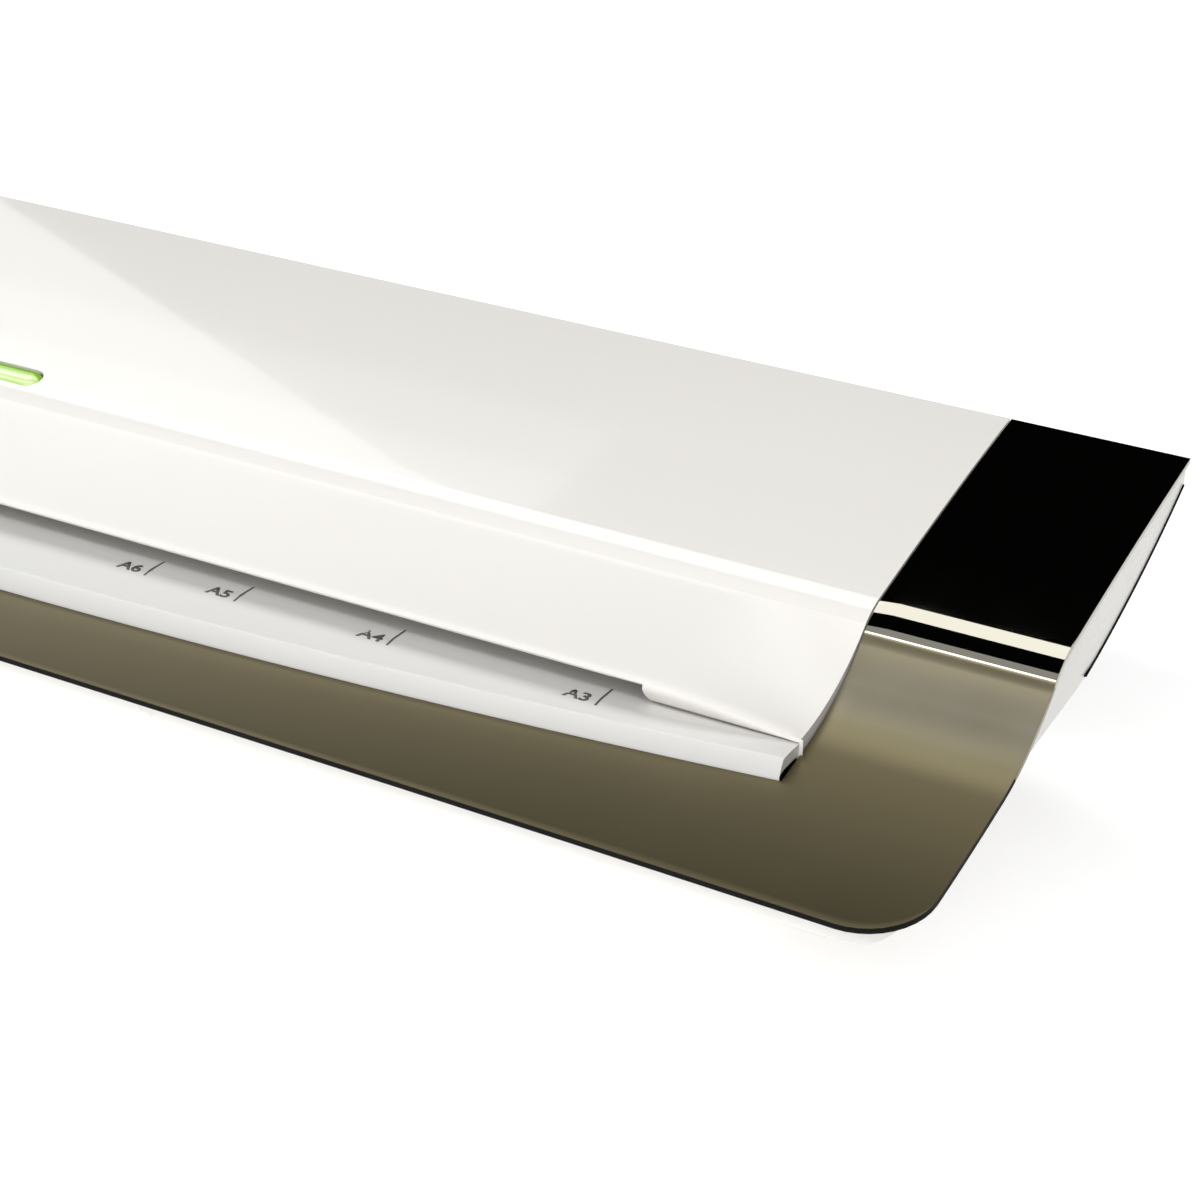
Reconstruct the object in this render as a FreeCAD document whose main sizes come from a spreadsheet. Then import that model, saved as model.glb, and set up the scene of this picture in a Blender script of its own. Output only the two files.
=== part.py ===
"""Pouch laminator for sheets up to A3, built as one parametric document.

Units are millimetres. +Z is up, the feed slot faces -Y, and +X is to the right of
someone feeding a pouch. The origin is at the bottom centre of the whole machine.
"""
import FreeCAD, Part
import math
import os

import Sketcher

Vector = FreeCAD.Vector
doc = FreeCAD.newDocument("pouch_laminator")

# ---------------------------------------------------------------- driving sizes
SIZES = {
    # outside, seen from above
    "pouch_width": 314.0,        # clear width of the feed slot
    "gear_bay": 28.0,            # slot end to the inner edge of each trim arm
    "arm_width": 34.5,
    "bar_depth": 18.0,           # trim bar in front of the feed shelf, at the middle
    "lip_bow": 9.5,              # how far the shelf lip bows forward of its ends
    "shelf_reach": 13.1,         # lip to overhang, at the middle
    "panel_depth": 33.4,         # overhang to crease
    "top_depth": 57.5,           # crease to rear edge
    "exit_reach": 6.0,           # exit lip behind the rear wall
    "corner_radius": 12.0,
    # outside, heights above the table
    "foot_height": 3.0,
    "foot_radius": 7.0,
    "foot_sink": 1.0,            # depth of the foot's spigot in the hull
    "foot_inset": 23.0,          # feet inside the ends of the feed slot
    "foot_set": 11.0,            # feet inside the ends of the hull floor
    "service_inset": 37.0,       # service opening inside the ends of the feed slot
    "front_height": 30.0,
    "apron_height": 37.0,
    "riser_height": 49.3,
    "ledge_height": 50.9,
    "crease_height": 53.3,
    "rear_height": 67.4,
    "overhang_height": 43.5,
    "shelf_height": 38.6,        # shelf top under the overhang
    "lip_height": 37.0,          # shelf top at the lip
    "split_height": 48.0,        # parting line of cover and hull at the rear
    # profile curves
    "riser_depth": 22.0,
    "crease_depth": 6.5,
    "riser_radius": 42.0,
    "crease_radius": 14.0,
    "top_radius": 900.0,
    "panel_radius": 150.0,
    # walls and gaps
    "trim_thick": 2.0,
    "shell_wall": 2.2,
    "cover_gap": 0.3,            # cover and shelf to the trim arms
    "seat_gap": 0.25,            # between stacked shells
    "hull_inset": 0.5,
    "side_slope": 44.0,          # hull sides, degrees from vertical
    "side_front_height": 36.0,   # lower edge of the hull's visible side
    "side_rear_height": 62.5,
    "side_radius": 300.0,
    "base_setback": 48.0,        # hull floor behind the front edge
    # film path
    "nip_height": 37.2,
    "slot_gap": 6.4,
    "gear_module": 0.8,
    "roller_teeth": 20.0,
    "idler_teeth": 14.0,
    "reduction_teeth": 22.0,
    "pinion_teeth": 15.0,
    "gear_width": 6.0,
    "gear_standoff": 4.0,
    "gear_backlash": 0.22,
    "reduction_angle": 230.0,    # direction from the lower hot roller
    "pinion_angle": 160.0,       # direction from the reduction gear
    "nip_gap": 0.3,
    "rear_room": 13.0,           # pull rollers to the rear edge
    "shaft_radius": 3.0,
    "running_gap": 0.05,
    "bush_radius": 5.0,
    "bush_flange": 6.2,
    "bush_length": 5.0,
    "plate_thick": 1.6,
    "plate_gap": 5.0,            # roller end to side plate
    "heat_depth": 22.0,
    "heat_thick": 3.0,
    "heat_gap": 1.8,             # half the opening between the heat plates
    "strip_thick": 0.8,
    # drive motor
    "motor_radius": 9.5,
    "motor_length": 34.0,
    "bracket_thick": 1.2,
    # start button
    "button_x": -11.0,
    "button_setback": 0.9,       # button centre behind the crease
    "button_length": 24.0,
    "button_width": 5.0,
    "button_proud": 0.5,
    "button_travel": 1.2,
    "button_gap": 0.35,
    "button_height": 4.2,
    # mains side, at the rear
    "inlet_inset": 14.4,         # inlet centre outside the left side plate
    "inlet_width": 20.0,
    "inlet_tall": 12.0,
    "inlet_depth": 20.0,
    "inlet_height": 40.0,
}

dims = doc.addObject("Spreadsheet::Sheet", "dims")
for row, (alias, size) in enumerate(SIZES.items(), start=1):
    dims.set("A%d" % row, alias)
    dims.set("B%d" % row, "%g" % size)
    dims.setAlias("B%d" % row, alias)
doc.recompute()

# ---------------------------------------------------------------- derived places
# Every derived place is an expression on the sheet, kept as text.
HALF_WIDTH = "(dims.pouch_width / 2 + dims.gear_bay + dims.arm_width)"
ARM_INNER = "(dims.pouch_width / 2 + dims.gear_bay)"
COVER_END = "(%s - dims.cover_gap)" % ARM_INNER
DEPTH = "(dims.bar_depth + dims.shelf_reach + dims.panel_depth + dims.top_depth + dims.exit_reach)"
FRONT_Y = "(-%s / 2)" % DEPTH
LIP_Y = "(%s + dims.bar_depth)" % FRONT_Y
OVERHANG_Y = "(%s + dims.shelf_reach)" % LIP_Y
CREASE_Y = "(%s + dims.panel_depth)" % OVERHANG_Y
REAR_Y = "(%s + dims.top_depth)" % CREASE_Y
RISER_Y = "(%s - dims.crease_depth)" % CREASE_Y
APRON_Y = "(%s - dims.riser_depth)" % RISER_Y
BASE_Y = "(%s + dims.base_setback)" % FRONT_Y
LIP_RADIUS = "((%s ^ 2 + dims.lip_bow ^ 2) / (2 * dims.lip_bow))" % ARM_INNER
HULL_REAR = "(%s - dims.hull_inset)" % REAR_Y
HULL_SIDE = "(%s - dims.hull_inset)" % HALF_WIDTH

PITCH_RADIUS = "(dims.gear_module * dims.roller_teeth / 2)"
PULL_Y = "(%s - dims.rear_room)" % REAR_Y
IDLER_Y = "(%s - dims.gear_module * (dims.roller_teeth + dims.idler_teeth) / 2)" % PULL_Y
HOT_Y = "(%s - dims.gear_module * (dims.roller_teeth + dims.idler_teeth))" % PULL_Y
LOWER_Z = "(dims.nip_height - %s)" % PITCH_RADIUS
UPPER_Z = "(dims.nip_height + %s)" % PITCH_RADIUS
REDUCTION_ARM = "(dims.gear_module * (dims.roller_teeth + dims.reduction_teeth) / 2)"
REDUCTION_Y = "(%s + %s * cos(dims.reduction_angle))" % (HOT_Y, REDUCTION_ARM)
REDUCTION_Z = "(%s + %s * sin(dims.reduction_angle))" % (LOWER_Z, REDUCTION_ARM)
PINION_ARM = "(dims.gear_module * (dims.reduction_teeth + dims.pinion_teeth) / 2)"
PINION_Y = "(%s + %s * cos(dims.pinion_angle))" % (REDUCTION_Y, PINION_ARM)
PINION_Z = "(%s + %s * sin(dims.pinion_angle))" % (REDUCTION_Z, PINION_ARM)

ROLLER_END = "(dims.pouch_width / 2 - 1)"
PLATE_X = "(%s + dims.plate_gap)" % ROLLER_END
PLATE_OUT = "(%s + dims.plate_thick)" % PLATE_X
GEAR_X = "(%s + dims.gear_standoff)" % PLATE_OUT
HEAT_REAR = "(%s - %s - 1.5)" % (HOT_Y, PITCH_RADIUS)
HEAT_FRONT = "(%s - dims.heat_depth)" % HEAT_REAR
PLATE_FRONT = "(%s - 3)" % HEAT_FRONT
PLATE_REAR = "(%s - 4)" % REAR_Y
FLOOR_Z = "(dims.foot_height + dims.shell_wall)"
INLET_X = "(-%s - dims.inlet_inset)" % PLATE_OUT

pieces = []


def value(expression):
    """Number that an expression on the sheet gives."""
    return float(dims.evalExpression(str(expression)))


def keep(piece, label):
    """Name a finished piece; its label names its file."""
    piece.Label = label
    pieces.append(piece)
    return piece


def bind(target, **bindings):
    """Bind properties to expressions; double underscores stand for dots."""
    for name, expression in bindings.items():
        target.setExpression(name.replace("__", "."), str(expression))
    return target


# ---------------------------------------------------------------- sketch helpers
TURN = {
    "XY": FreeCAD.Rotation(0, 0, 0),
    "YZ": FreeCAD.Rotation(90, 0, 90),
}
OFFSET_AXIS = {"XY": "z", "YZ": "x"}


def draw_outline(sketch, nodes, arcs=None):
    """Closed outline through nodes; arcs maps a side's number to (radius, bulge side)."""
    arcs = arcs or {}
    points = [Vector(value(u), value(v), 0) for u, v in nodes]
    ends = []
    for index, start in enumerate(points):
        stop = points[(index + 1) % len(points)]
        if index in arcs:
            radius, side = arcs[index]
            chord = stop - start
            left = Vector(-chord.y, chord.x, 0).normalize()
            drop = value(radius) - math.sqrt(value(radius) ** 2 - (chord.Length / 2) ** 2)
            middle = (start + stop) * 0.5 + left * (side * drop)
            line = sketch.addGeometry(Part.Arc(start, middle, stop), False)
            ends.append((line, 2, 1) if side > 0 else (line, 1, 2))
        else:
            line = sketch.addGeometry(Part.LineSegment(start, stop), False)
            ends.append((line, 1, 2))
    for index, (line, first, last) in enumerate(ends):
        following = ends[(index + 1) % len(ends)]
        sketch.addConstraint(Sketcher.Constraint("Coincident", line, last, following[0], following[1]))
        for kind, coordinate in (("DistanceX", nodes[index][0]), ("DistanceY", nodes[index][1])):
            number = sketch.addConstraint(
                Sketcher.Constraint(kind, -1, 1, line, first, value(coordinate)))
            sketch.setExpression("Constraints[%d]" % number, str(coordinate))
        if index in arcs:
            number = sketch.addConstraint(
                Sketcher.Constraint("Radius", line, value(arcs[index][0])))
            sketch.setExpression("Constraints[%d]" % number, str(arcs[index][0]))


def draw_box(sketch, u0, v0, u1, v1):
    draw_outline(sketch, [(u0, v0), (u1, v0), (u1, v1), (u0, v1)])


def draw_circle(sketch, u, v, radius):
    circle = sketch.addGeometry(
        Part.Circle(Vector(value(u), value(v), 0), Vector(0, 0, 1), value(radius)), False)
    for kind, coordinate in (("DistanceX", u), ("DistanceY", v)):
        number = sketch.addConstraint(
            Sketcher.Constraint(kind, -1, 1, circle, 3, value(coordinate)))
        sketch.setExpression("Constraints[%d]" % number, str(coordinate))
    number = sketch.addConstraint(Sketcher.Constraint("Radius", circle, value(radius)))
    sketch.setExpression("Constraints[%d]" % number, str(radius))


def draw_pill(sketch, u, v, length, width):
    """Slot with round ends, long along the first axis."""
    half = "((%s - %s) / 2)" % (length, width)
    rim = "(%s / 2)" % width
    left, right = "(%s - %s)" % (u, half), "(%s + %s)" % (u, half)
    low, high = "(%s - %s)" % (v, rim), "(%s + %s)" % (v, rim)
    draw_outline(
        sketch,
        [(left, low), (right, low), ("(%s + %s)" % (right, rim), v), (right, high),
         (left, high), ("(%s - %s)" % (left, rim), v)],
        {1: (rim, -1), 2: (rim, -1), 4: (rim, -1), 5: (rim, -1)})


def body(label):
    return keep(doc.addObject("PartDesign::Body", label), label)


def body_sketch(owner, plane, offset=None):
    """Sketch on one of the body's own origin planes, moved along its normal by offset."""
    sketch = owner.newObject("Sketcher::SketchObject", owner.Name + "_sketch")
    support = [item for item in owner.Origin.OriginFeatures if item.Role == plane + "_Plane"][0]
    sketch.AttachmentSupport = [(support, "")]
    sketch.MapMode = "FlatFace"
    if offset is not None:
        sketch.setExpression("AttachmentOffset.Base.z", str(offset))
    return sketch


def pad(owner, sketch, length, middle=False, back=False):
    feature = owner.newObject("PartDesign::Pad", owner.Name + "_pad")
    feature.Profile = sketch
    feature.Midplane = middle
    feature.Reversed = back
    feature.setExpression("Length", str(length))
    doc.recompute()
    return feature


def pocket(owner, sketch):
    """Cut the sketch through the whole body, both ways."""
    before = owner.Shape.Volume
    feature = owner.newObject("PartDesign::Pocket", owner.Name + "_pocket")
    feature.Profile = sketch
    feature.Type = "ThroughAll"
    feature.Midplane = True
    doc.recompute()
    if not owner.Shape.Volume < before:
        raise RuntimeError("%s: a pocket cut nothing" % owner.Label)
    return feature


def plate(label, start, thick, nodes=None, circles=(), middle=False):
    """Piece of one section along X: an outline or circle with holes, drawn in the YZ plane."""
    owner = body(label)
    sketch = body_sketch(owner, "YZ", start)
    if nodes:
        draw_outline(sketch, nodes)
    for circle in circles:
        draw_circle(sketch, *circle)
    pad(owner, sketch, thick, middle)
    return owner


def ring(label, start, length, y, z, outer, inner=None):
    """Round piece along X, with a bore when inner is given."""
    circles = [(y, z, outer)] + ([(y, z, inner)] if inner else [])
    return plate(label, start, length, circles=circles)


# ---------------------------------------------------------------- solid helpers
def block(x, y, z, long, deep, tall, name="block"):
    """Box from its low corner."""
    item = doc.addObject("Part::Box", name)
    bind(item, Length=long, Width=deep, Height=tall,
         Placement__Base__x=x, Placement__Base__y=y, Placement__Base__z=z)
    return item


def rod(axis, x, y, z, radius, length, name="rod"):
    """Cylinder from its start, along a row axis."""
    item = doc.addObject("Part::Cylinder", name)
    turns = {"X": FreeCAD.Rotation(Vector(0, 1, 0), 90),
             "Y": FreeCAD.Rotation(Vector(1, 0, 0), -90),
             "Z": FreeCAD.Rotation()}
    item.Placement = FreeCAD.Placement(Vector(), turns[axis])
    bind(item, Radius=radius, Height=length,
         Placement__Base__x=x, Placement__Base__y=y, Placement__Base__z=z)
    return item


def loose_sketch(plane, offset, nodes, arcs=None):
    """Sketch that belongs to no body, at an offset along the plane's normal."""
    sketch = doc.addObject("Sketcher::SketchObject", "outline")
    sketch.Placement = FreeCAD.Placement(Vector(), TURN[plane])
    sketch.setExpression("Placement.Base." + OFFSET_AXIS[plane], str(offset))
    draw_outline(sketch, nodes, arcs)
    return sketch


def sweep(sketch, direction, length, name="sweep"):
    """Straight extrusion of a loose sketch."""
    item = doc.addObject("Part::Extrusion", name)
    item.Base = sketch
    item.DirMode = "Custom"
    item.Solid = True
    for axis, part in zip("xyz", direction):
        item.setExpression("Dir." + axis, str(part))
    item.setExpression("LengthFwd", str(length))
    return item


def fuse(items, name="joined"):
    item = doc.addObject("Part::MultiFuse", name)
    item.Shapes = items
    item.Refine = True
    return item


def cut(base, tools, name="cut"):
    """Base less all the tools."""
    tool = tools[0] if len(tools) == 1 else fuse(tools)
    item = doc.addObject("Part::Cut", name)
    item.Base = base
    item.Tool = tool
    doc.recompute()
    return item


def group(label, items):
    """Separate solids that share one node."""
    item = doc.addObject("Part::Compound", label)
    item.Links = items
    return keep(item, label)


# ---------------------------------------------------------------- outside: trim
# One thin moulded U: a front bar and two arms that run back over the machine.
def profile_nodes(drop):
    """Top line of the trim from front to rear, lowered by drop."""
    heights = ["dims.front_height", "dims.apron_height", "dims.riser_height",
               "dims.crease_height", "dims.rear_height"]
    places = [FRONT_Y, APRON_Y, RISER_Y, CREASE_Y, REAR_Y]
    return [(y, "(%s - %s)" % (z, drop)) for y, z in zip(places, heights)]


UP_ARCS = {1: ("dims.riser_radius", -1), 2: ("dims.crease_radius", 1), 3: ("dims.top_radius", 1)}

frame_trim = body("frame_trim")
trim_sketch = body_sketch(frame_trim, "YZ")
draw_outline(
    trim_sketch,
    profile_nodes("0") + profile_nodes("dims.trim_thick")[::-1],
    {**UP_ARCS, 5: ("dims.top_radius", -1), 6: ("dims.crease_radius", -1),
     7: ("dims.riser_radius", 1)})
pad(frame_trim, trim_sketch, "2 * " + HALF_WIDTH, middle=True)


def corner_nodes(side, inset):
    """Outline of what a rounded front corner takes away, seen from above."""
    sign = "" if side > 0 else "-"
    edge = "%s(%s - %s)" % (sign, HALF_WIDTH, inset)
    inner = "%s(%s - dims.corner_radius)" % (sign, HALF_WIDTH)
    beyond = "%s(%s + 1)" % (sign, HALF_WIDTH)
    front = "(%s + %s)" % (FRONT_Y, inset)
    return [(inner, front), (edge, "(%s + dims.corner_radius)" % FRONT_Y),
            (beyond, "(%s + dims.corner_radius)" % FRONT_Y), (beyond, "(%s - 1)" % FRONT_Y),
            (inner, "(%s - 1)" % FRONT_Y)]


trim_corners = body_sketch(frame_trim, "XY")
for side in (1, -1):
    draw_outline(trim_corners, corner_nodes(side, "0"), {0: ("dims.corner_radius", -side)})
pocket(frame_trim, trim_corners)

LIP_END = "(%s + dims.lip_bow)" % LIP_Y
trim_opening = body_sketch(frame_trim, "XY")
draw_outline(
    trim_opening,
    [("-" + ARM_INNER, LIP_END), (ARM_INNER, LIP_END), (ARM_INNER, "(%s + 5)" % REAR_Y),
     ("-" + ARM_INNER, "(%s + 5)" % REAR_Y)],
    {0: (LIP_RADIUS, -1)})
pocket(frame_trim, trim_opening)

# ---------------------------------------------------------------- outside: hull
# Boat-shaped tub under the trim: sloping bow, sloping sides, flat floor, upright rear wall.
UNDER_TRIM = "(dims.trim_thick + dims.seat_gap)"
BOW_Y = "(%s + dims.hull_inset)" % FRONT_Y
hull_top = profile_nodes(UNDER_TRIM)
hull_top[0] = (BOW_Y, hull_top[0][1])
hull_top[-1] = (HULL_REAR, hull_top[-1][1])
hull_outer = sweep(
    loose_sketch("YZ", "-" + HULL_SIDE,
                 hull_top + [(HULL_REAR, "dims.foot_height"), (BASE_Y, "dims.foot_height"),
                             (BOW_Y, "(dims.front_height - %s - 1.2)" % UNDER_TRIM)],
                 UP_ARCS),
    (1, 0, 0), "2 * " + HULL_SIDE, "hull_outer")

BIG = "200"
hull_inner = sweep(
    loose_sketch("YZ", "-(%s - dims.shell_wall)" % HULL_SIDE,
                 [("(%s + 6)" % BOW_Y, BIG),
                  ("(%s + 6)" % BOW_Y, "(dims.front_height - dims.shell_wall - 2)"),
                  ("(%s + 1.2)" % BASE_Y, FLOOR_Z),
                  ("(%s - dims.shell_wall)" % HULL_REAR, FLOOR_Z),
                  ("(%s - dims.shell_wall)" % HULL_REAR, BIG)]),
    (1, 0, 0), "2 * (%s - dims.shell_wall)" % HULL_SIDE, "hull_inner")


def side_wedge(side, inset):
    """Space under a hull side: everything below the curved side line, carried inwards and down."""
    lean = "-sin(dims.side_slope)" if side > 0 else "sin(dims.side_slope)"
    start = "%d * (%s + 0.001 - %s / cos(dims.side_slope))" % (side, HALF_WIDTH, inset)
    line = loose_sketch(
        "YZ", start,
        [("(%s - 30)" % FRONT_Y, "dims.side_front_height - 6"), (OVERHANG_Y, "dims.side_front_height"),
         ("(%s + 2)" % REAR_Y, "dims.side_rear_height"), ("(%s + 2)" % REAR_Y, "-60"),
         ("(%s - 30)" % FRONT_Y, "-60")],
        {1: ("dims.side_radius", -1)})
    return sweep(line, (lean, 0, "-cos(dims.side_slope)"), "130", "side_wedge")


def hull_corner(side):
    outline = loose_sketch("XY", 0, corner_nodes(side, "dims.hull_inset"),
                           {0: ("(dims.corner_radius - dims.hull_inset)", -side)})
    return sweep(outline, (0, 0, 1), "2 * dims.front_height", "hull_corner")


hull_skin = cut(
    cut(hull_outer, [side_wedge(1, "0"), side_wedge(-1, "0"), hull_corner(1), hull_corner(-1)]),
    [cut(hull_inner, [side_wedge(1, "dims.shell_wall"), side_wedge(-1, "dims.shell_wall")])])

EXIT_LOW = "(dims.nip_height - dims.slot_gap / 2)"
VENTS, VENT_PITCH, VENT_WIDE = 8, 9, 4
SERVICE_X = "(dims.pouch_width / 2 - dims.service_inset)"
SERVICE_Y0 = "(%s + 10)" % BASE_Y
SERVICE_Y1 = "(%s - 14)" % REAR_Y
hull_cuts = [
    block("-" + COVER_END, "(%s - 8)" % REAR_Y, "dims.split_height", "2 * " + COVER_END, 12, 40),
    block("-dims.pouch_width / 2", "(%s - 8)" % REAR_Y, EXIT_LOW, "dims.pouch_width", 12, "dims.slot_gap"),
    block("(%s - dims.inlet_width / 2)" % INLET_X, "(%s - 8)" % REAR_Y,
          "(dims.inlet_height - dims.inlet_tall / 2)", "dims.inlet_width", 12, "dims.inlet_tall"),
    block("-" + SERVICE_X, SERVICE_Y0, -1, "2 * " + SERVICE_X, "%s - %s" % (SERVICE_Y1, SERVICE_Y0), 10),
]
FOOT_X = "(dims.pouch_width / 2 - dims.foot_inset)"
FOOT_FRONT = "(%s + dims.foot_set)" % BASE_Y
FOOT_BACK = "(%s - dims.foot_set)" % REAR_Y
foot_places = {
    "foot_front_left": ("-" + FOOT_X, FOOT_FRONT),
    "foot_front_right": (FOOT_X, FOOT_FRONT),
    "foot_rear_left": ("-" + FOOT_X, FOOT_BACK),
    "foot_rear_right": (FOOT_X, FOOT_BACK),
}
SPIGOT = "(dims.foot_radius / 2)"
for x, y in foot_places.values():
    hull_cuts.append(rod("Z", x, y, "(dims.foot_height - 1)", SPIGOT, "(dims.foot_sink + 1)"))
for index in range(VENTS):
    vent_x = "(%d * %d + 60)" % (index, VENT_PITCH)
    hull_cuts.append(block(vent_x, "(%s - 8)" % REAR_Y, "dims.foot_height + 11", VENT_WIDE, 12, 11))
keep(cut(hull_skin, hull_cuts, "base_shell"), "base_shell")

# The bottom cover closes the service opening from inside, with a row of air slots.
AIR_SLOTS, SLOT_PITCH, SLOT_WIDE = 11, 12, 5
PANEL_THICK = 1.6
service_panel = block("-(%s + 5)" % SERVICE_X, "(%s - 4)" % SERVICE_Y0, FLOOR_Z, "2 * (%s + 5)" % SERVICE_X,
                      "%s - %s + 8" % (SERVICE_Y1, SERVICE_Y0), PANEL_THICK)
air_slots = [block("(%d * %d - 61)" % (index, SLOT_PITCH), "(%s + 8)" % SERVICE_Y0, "(%s - 1)" % FLOOR_Z,
                   SLOT_WIDE, "(%s - %s - 16)" % (SERVICE_Y1, SERVICE_Y0), 4) for index in range(AIR_SLOTS)]
keep(cut(service_panel, air_slots, "bottom_cover"), "bottom_cover")

for label, (x, y) in foot_places.items():
    foot = body(label)
    pad_sketch = body_sketch(foot, "XY")
    draw_circle(pad_sketch, x, y, "dims.foot_radius")
    pad(foot, pad_sketch, "dims.foot_height")
    spigot_sketch = body_sketch(foot, "XY", "(dims.foot_height - 0.5)")
    draw_circle(spigot_sketch, x, y, SPIGOT)
    pad(foot, spigot_sketch, "(dims.foot_sink + 0.5)")

# ---------------------------------------------------------------- outside: cover
# Shell between the arms: crowned top, soft crease, sloping front panel that overhangs the slot.
SKIRT_Z = "(dims.shelf_height + dims.seat_gap)"


def cover_section(x, end, inside):
    """Section of the cover across its length; end sections drop to the trim's riser."""
    wall = "dims.shell_wall" if inside else "0"
    rear = "(%s - %s)" % (REAR_Y, wall)
    ledge = "dims.riser_height" if end else "dims.ledge_height"
    brow_y = "(%s + %s)" % (OVERHANG_Y, "7" if end else "0")
    brow_z = "(dims.shelf_height + 1.4)" if end else "dims.overhang_height"
    skirt_y = "(%s + %s)" % (OVERHANG_Y, "5.4" if end else "2.4")
    bottom_rear = "(dims.split_height - 30)" if inside else "(dims.split_height + dims.seat_gap)"
    bottom_front = "(dims.shelf_height - 20)" if inside else SKIRT_Z
    nodes = [
        (rear, bottom_rear),
        (rear, "(dims.rear_height - 1.25 * %s)" % wall),
        (CREASE_Y, "(dims.crease_height - 1.04 * %s)" % wall),
        (RISER_Y, "(%s - 1.1 * %s)" % (ledge, wall)),
        ("(%s + %s)" % (brow_y, wall), "(%s - 0.4 * %s)" % (brow_z, wall)),
        ("(%s + %s)" % (skirt_y, wall), bottom_front),
    ]
    face_arc = ("dims.riser_radius", 1) if end else ("dims.panel_radius", -1)
    arcs = {1: ("dims.top_radius", -1), 2: ("dims.crease_radius", -1), 3: face_arc}
    return loose_sketch("YZ", x, nodes, arcs)


def cover_loft(inside):
    inset = "dims.shell_wall" if inside else "0"
    item = doc.addObject("Part::Loft", "cover_loft")
    item.Sections = [
        cover_section("-(%s - %s)" % (COVER_END, inset), True, inside),
        cover_section("-dims.pouch_width / 2", False, inside),
        cover_section("dims.pouch_width / 2", False, inside),
        cover_section("(%s - %s)" % (COVER_END, inset), True, inside),
    ]
    item.Solid = True
    item.Ruled = True
    return item


BUTTON_Y = "(%s + dims.button_setback)" % CREASE_Y
TOP_SLOPE = "atan((dims.rear_height - dims.crease_height) / dims.top_depth)"
BUTTON_Z = "(dims.crease_height + dims.button_setback * tan(%s))" % TOP_SLOPE


def tilted(item, lift, x="dims.button_x", back="0"):
    """Place a part along the cover's normal: lift above its face, back up its slope."""
    item.Placement = FreeCAD.Placement(Vector(), FreeCAD.Rotation(Vector(1, 0, 0), value(TOP_SLOPE)))
    y = "(%s + (%s) * cos(%s) - (%s) * sin(%s))" % (BUTTON_Y, back, TOP_SLOPE, lift, TOP_SLOPE)
    z = "(%s + (%s) * sin(%s) + (%s) * cos(%s))" % (BUTTON_Z, back, TOP_SLOPE, lift, TOP_SLOPE)
    return bind(item, Placement__Base__x=x, Placement__Base__y=y, Placement__Base__z=z)


button_window = doc.addObject("Part::Box", "button_window")
bind(button_window, Length="(dims.button_length + 2 * dims.button_gap)",
     Width="(dims.button_width + 2 * dims.button_gap)", Height=12)
tilted(button_window, "-8", "(dims.button_x - dims.button_length / 2 - dims.button_gap)",
       "-(dims.button_width / 2 + dims.button_gap)")
slot_window = block("-dims.pouch_width / 2", "(%s - 10)" % OVERHANG_Y, "(dims.shelf_height - 2)",
                    "dims.pouch_width", 22, "(dims.overhang_height - dims.shelf_height + 2)")
keep(cut(cover_loft(False), [cover_loft(True), slot_window, button_window], "top_cover"), "top_cover")

# ---------------------------------------------------------------- outside: feed shelf
# Crescent shelf in front of the slot, with a bowed lip and four ribs to the hull.
shelf_rear = "(%s + 14)" % OVERHANG_Y
feed_shelf = body("feed_shelf")
shelf_sketch = body_sketch(feed_shelf, "YZ")
draw_outline(
    shelf_sketch,
    [("(%s + dims.cover_gap)" % LIP_Y, "(dims.lip_height - 3.2)"),
     (shelf_rear, "(dims.shelf_height - 2.2)"), (shelf_rear, "dims.shelf_height"),
     (OVERHANG_Y, "dims.shelf_height"), ("(%s + dims.cover_gap)" % LIP_Y, "dims.lip_height")])
pad(feed_shelf, shelf_sketch, "2 * (%s - dims.cover_gap)" % ARM_INNER, middle=True)
lip_cut = body_sketch(feed_shelf, "XY")
draw_outline(
    lip_cut,
    [("-" + HALF_WIDTH, "(%s - 30)" % LIP_Y), (HALF_WIDTH, "(%s - 30)" % LIP_Y),
     (HALF_WIDTH, "(%s + dims.cover_gap)" % LIP_END), (ARM_INNER, "(%s + dims.cover_gap)" % LIP_END),
     ("-" + ARM_INNER, "(%s + dims.cover_gap)" % LIP_END),
     ("-" + HALF_WIDTH, "(%s + dims.cover_gap)" % LIP_END)],
    {3: (LIP_RADIUS, 1)})
pocket(feed_shelf, lip_cut)
rib_sketch = body_sketch(feed_shelf, "YZ", "-(dims.pouch_width / 2 - 12)")
draw_box(rib_sketch, "(%s + 1)" % OVERHANG_Y, "(dims.front_height - 10)", "(%s + 11)" % OVERHANG_Y,
         "(dims.shelf_height - 1)")
rib_pad = pad(feed_shelf, rib_sketch, 2)
ribs = feed_shelf.newObject("PartDesign::LinearPattern", "shelf_ribs")
ribs.Originals = [rib_pad]
ribs.Direction = (rib_sketch, ["N_Axis"])
ribs.Occurrences = 4
ribs.setExpression("Length", "(dims.pouch_width - 26)")
feed_shelf.Tip = ribs
doc.recompute()

# ---------------------------------------------------------------- outside: exit guide
# Moulded frame around the exit slot, with a lip that carries the pouch away from the rollers.
exit_guide = body("exit_guide")
exit_sketch = body_sketch(exit_guide, "YZ")
draw_outline(
    exit_sketch,
    [("(%s + 0.1)" % REAR_Y, "(%s - 5)" % EXIT_LOW),
     ("(%s + dims.exit_reach)" % REAR_Y, "(%s - 2)" % EXIT_LOW),
     ("(%s + dims.exit_reach)" % REAR_Y, "(%s - 0.4)" % EXIT_LOW),
     ("(%s - 6)" % REAR_Y, "(%s + 0.8)" % EXIT_LOW), ("(%s - 6)" % REAR_Y, "(%s + 0.1)" % EXIT_LOW),
     ("(%s + 0.1)" % REAR_Y, "(%s + 0.1)" % EXIT_LOW)])
pad(exit_guide, exit_sketch, "(dims.pouch_width - 0.4)", middle=True)

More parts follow.
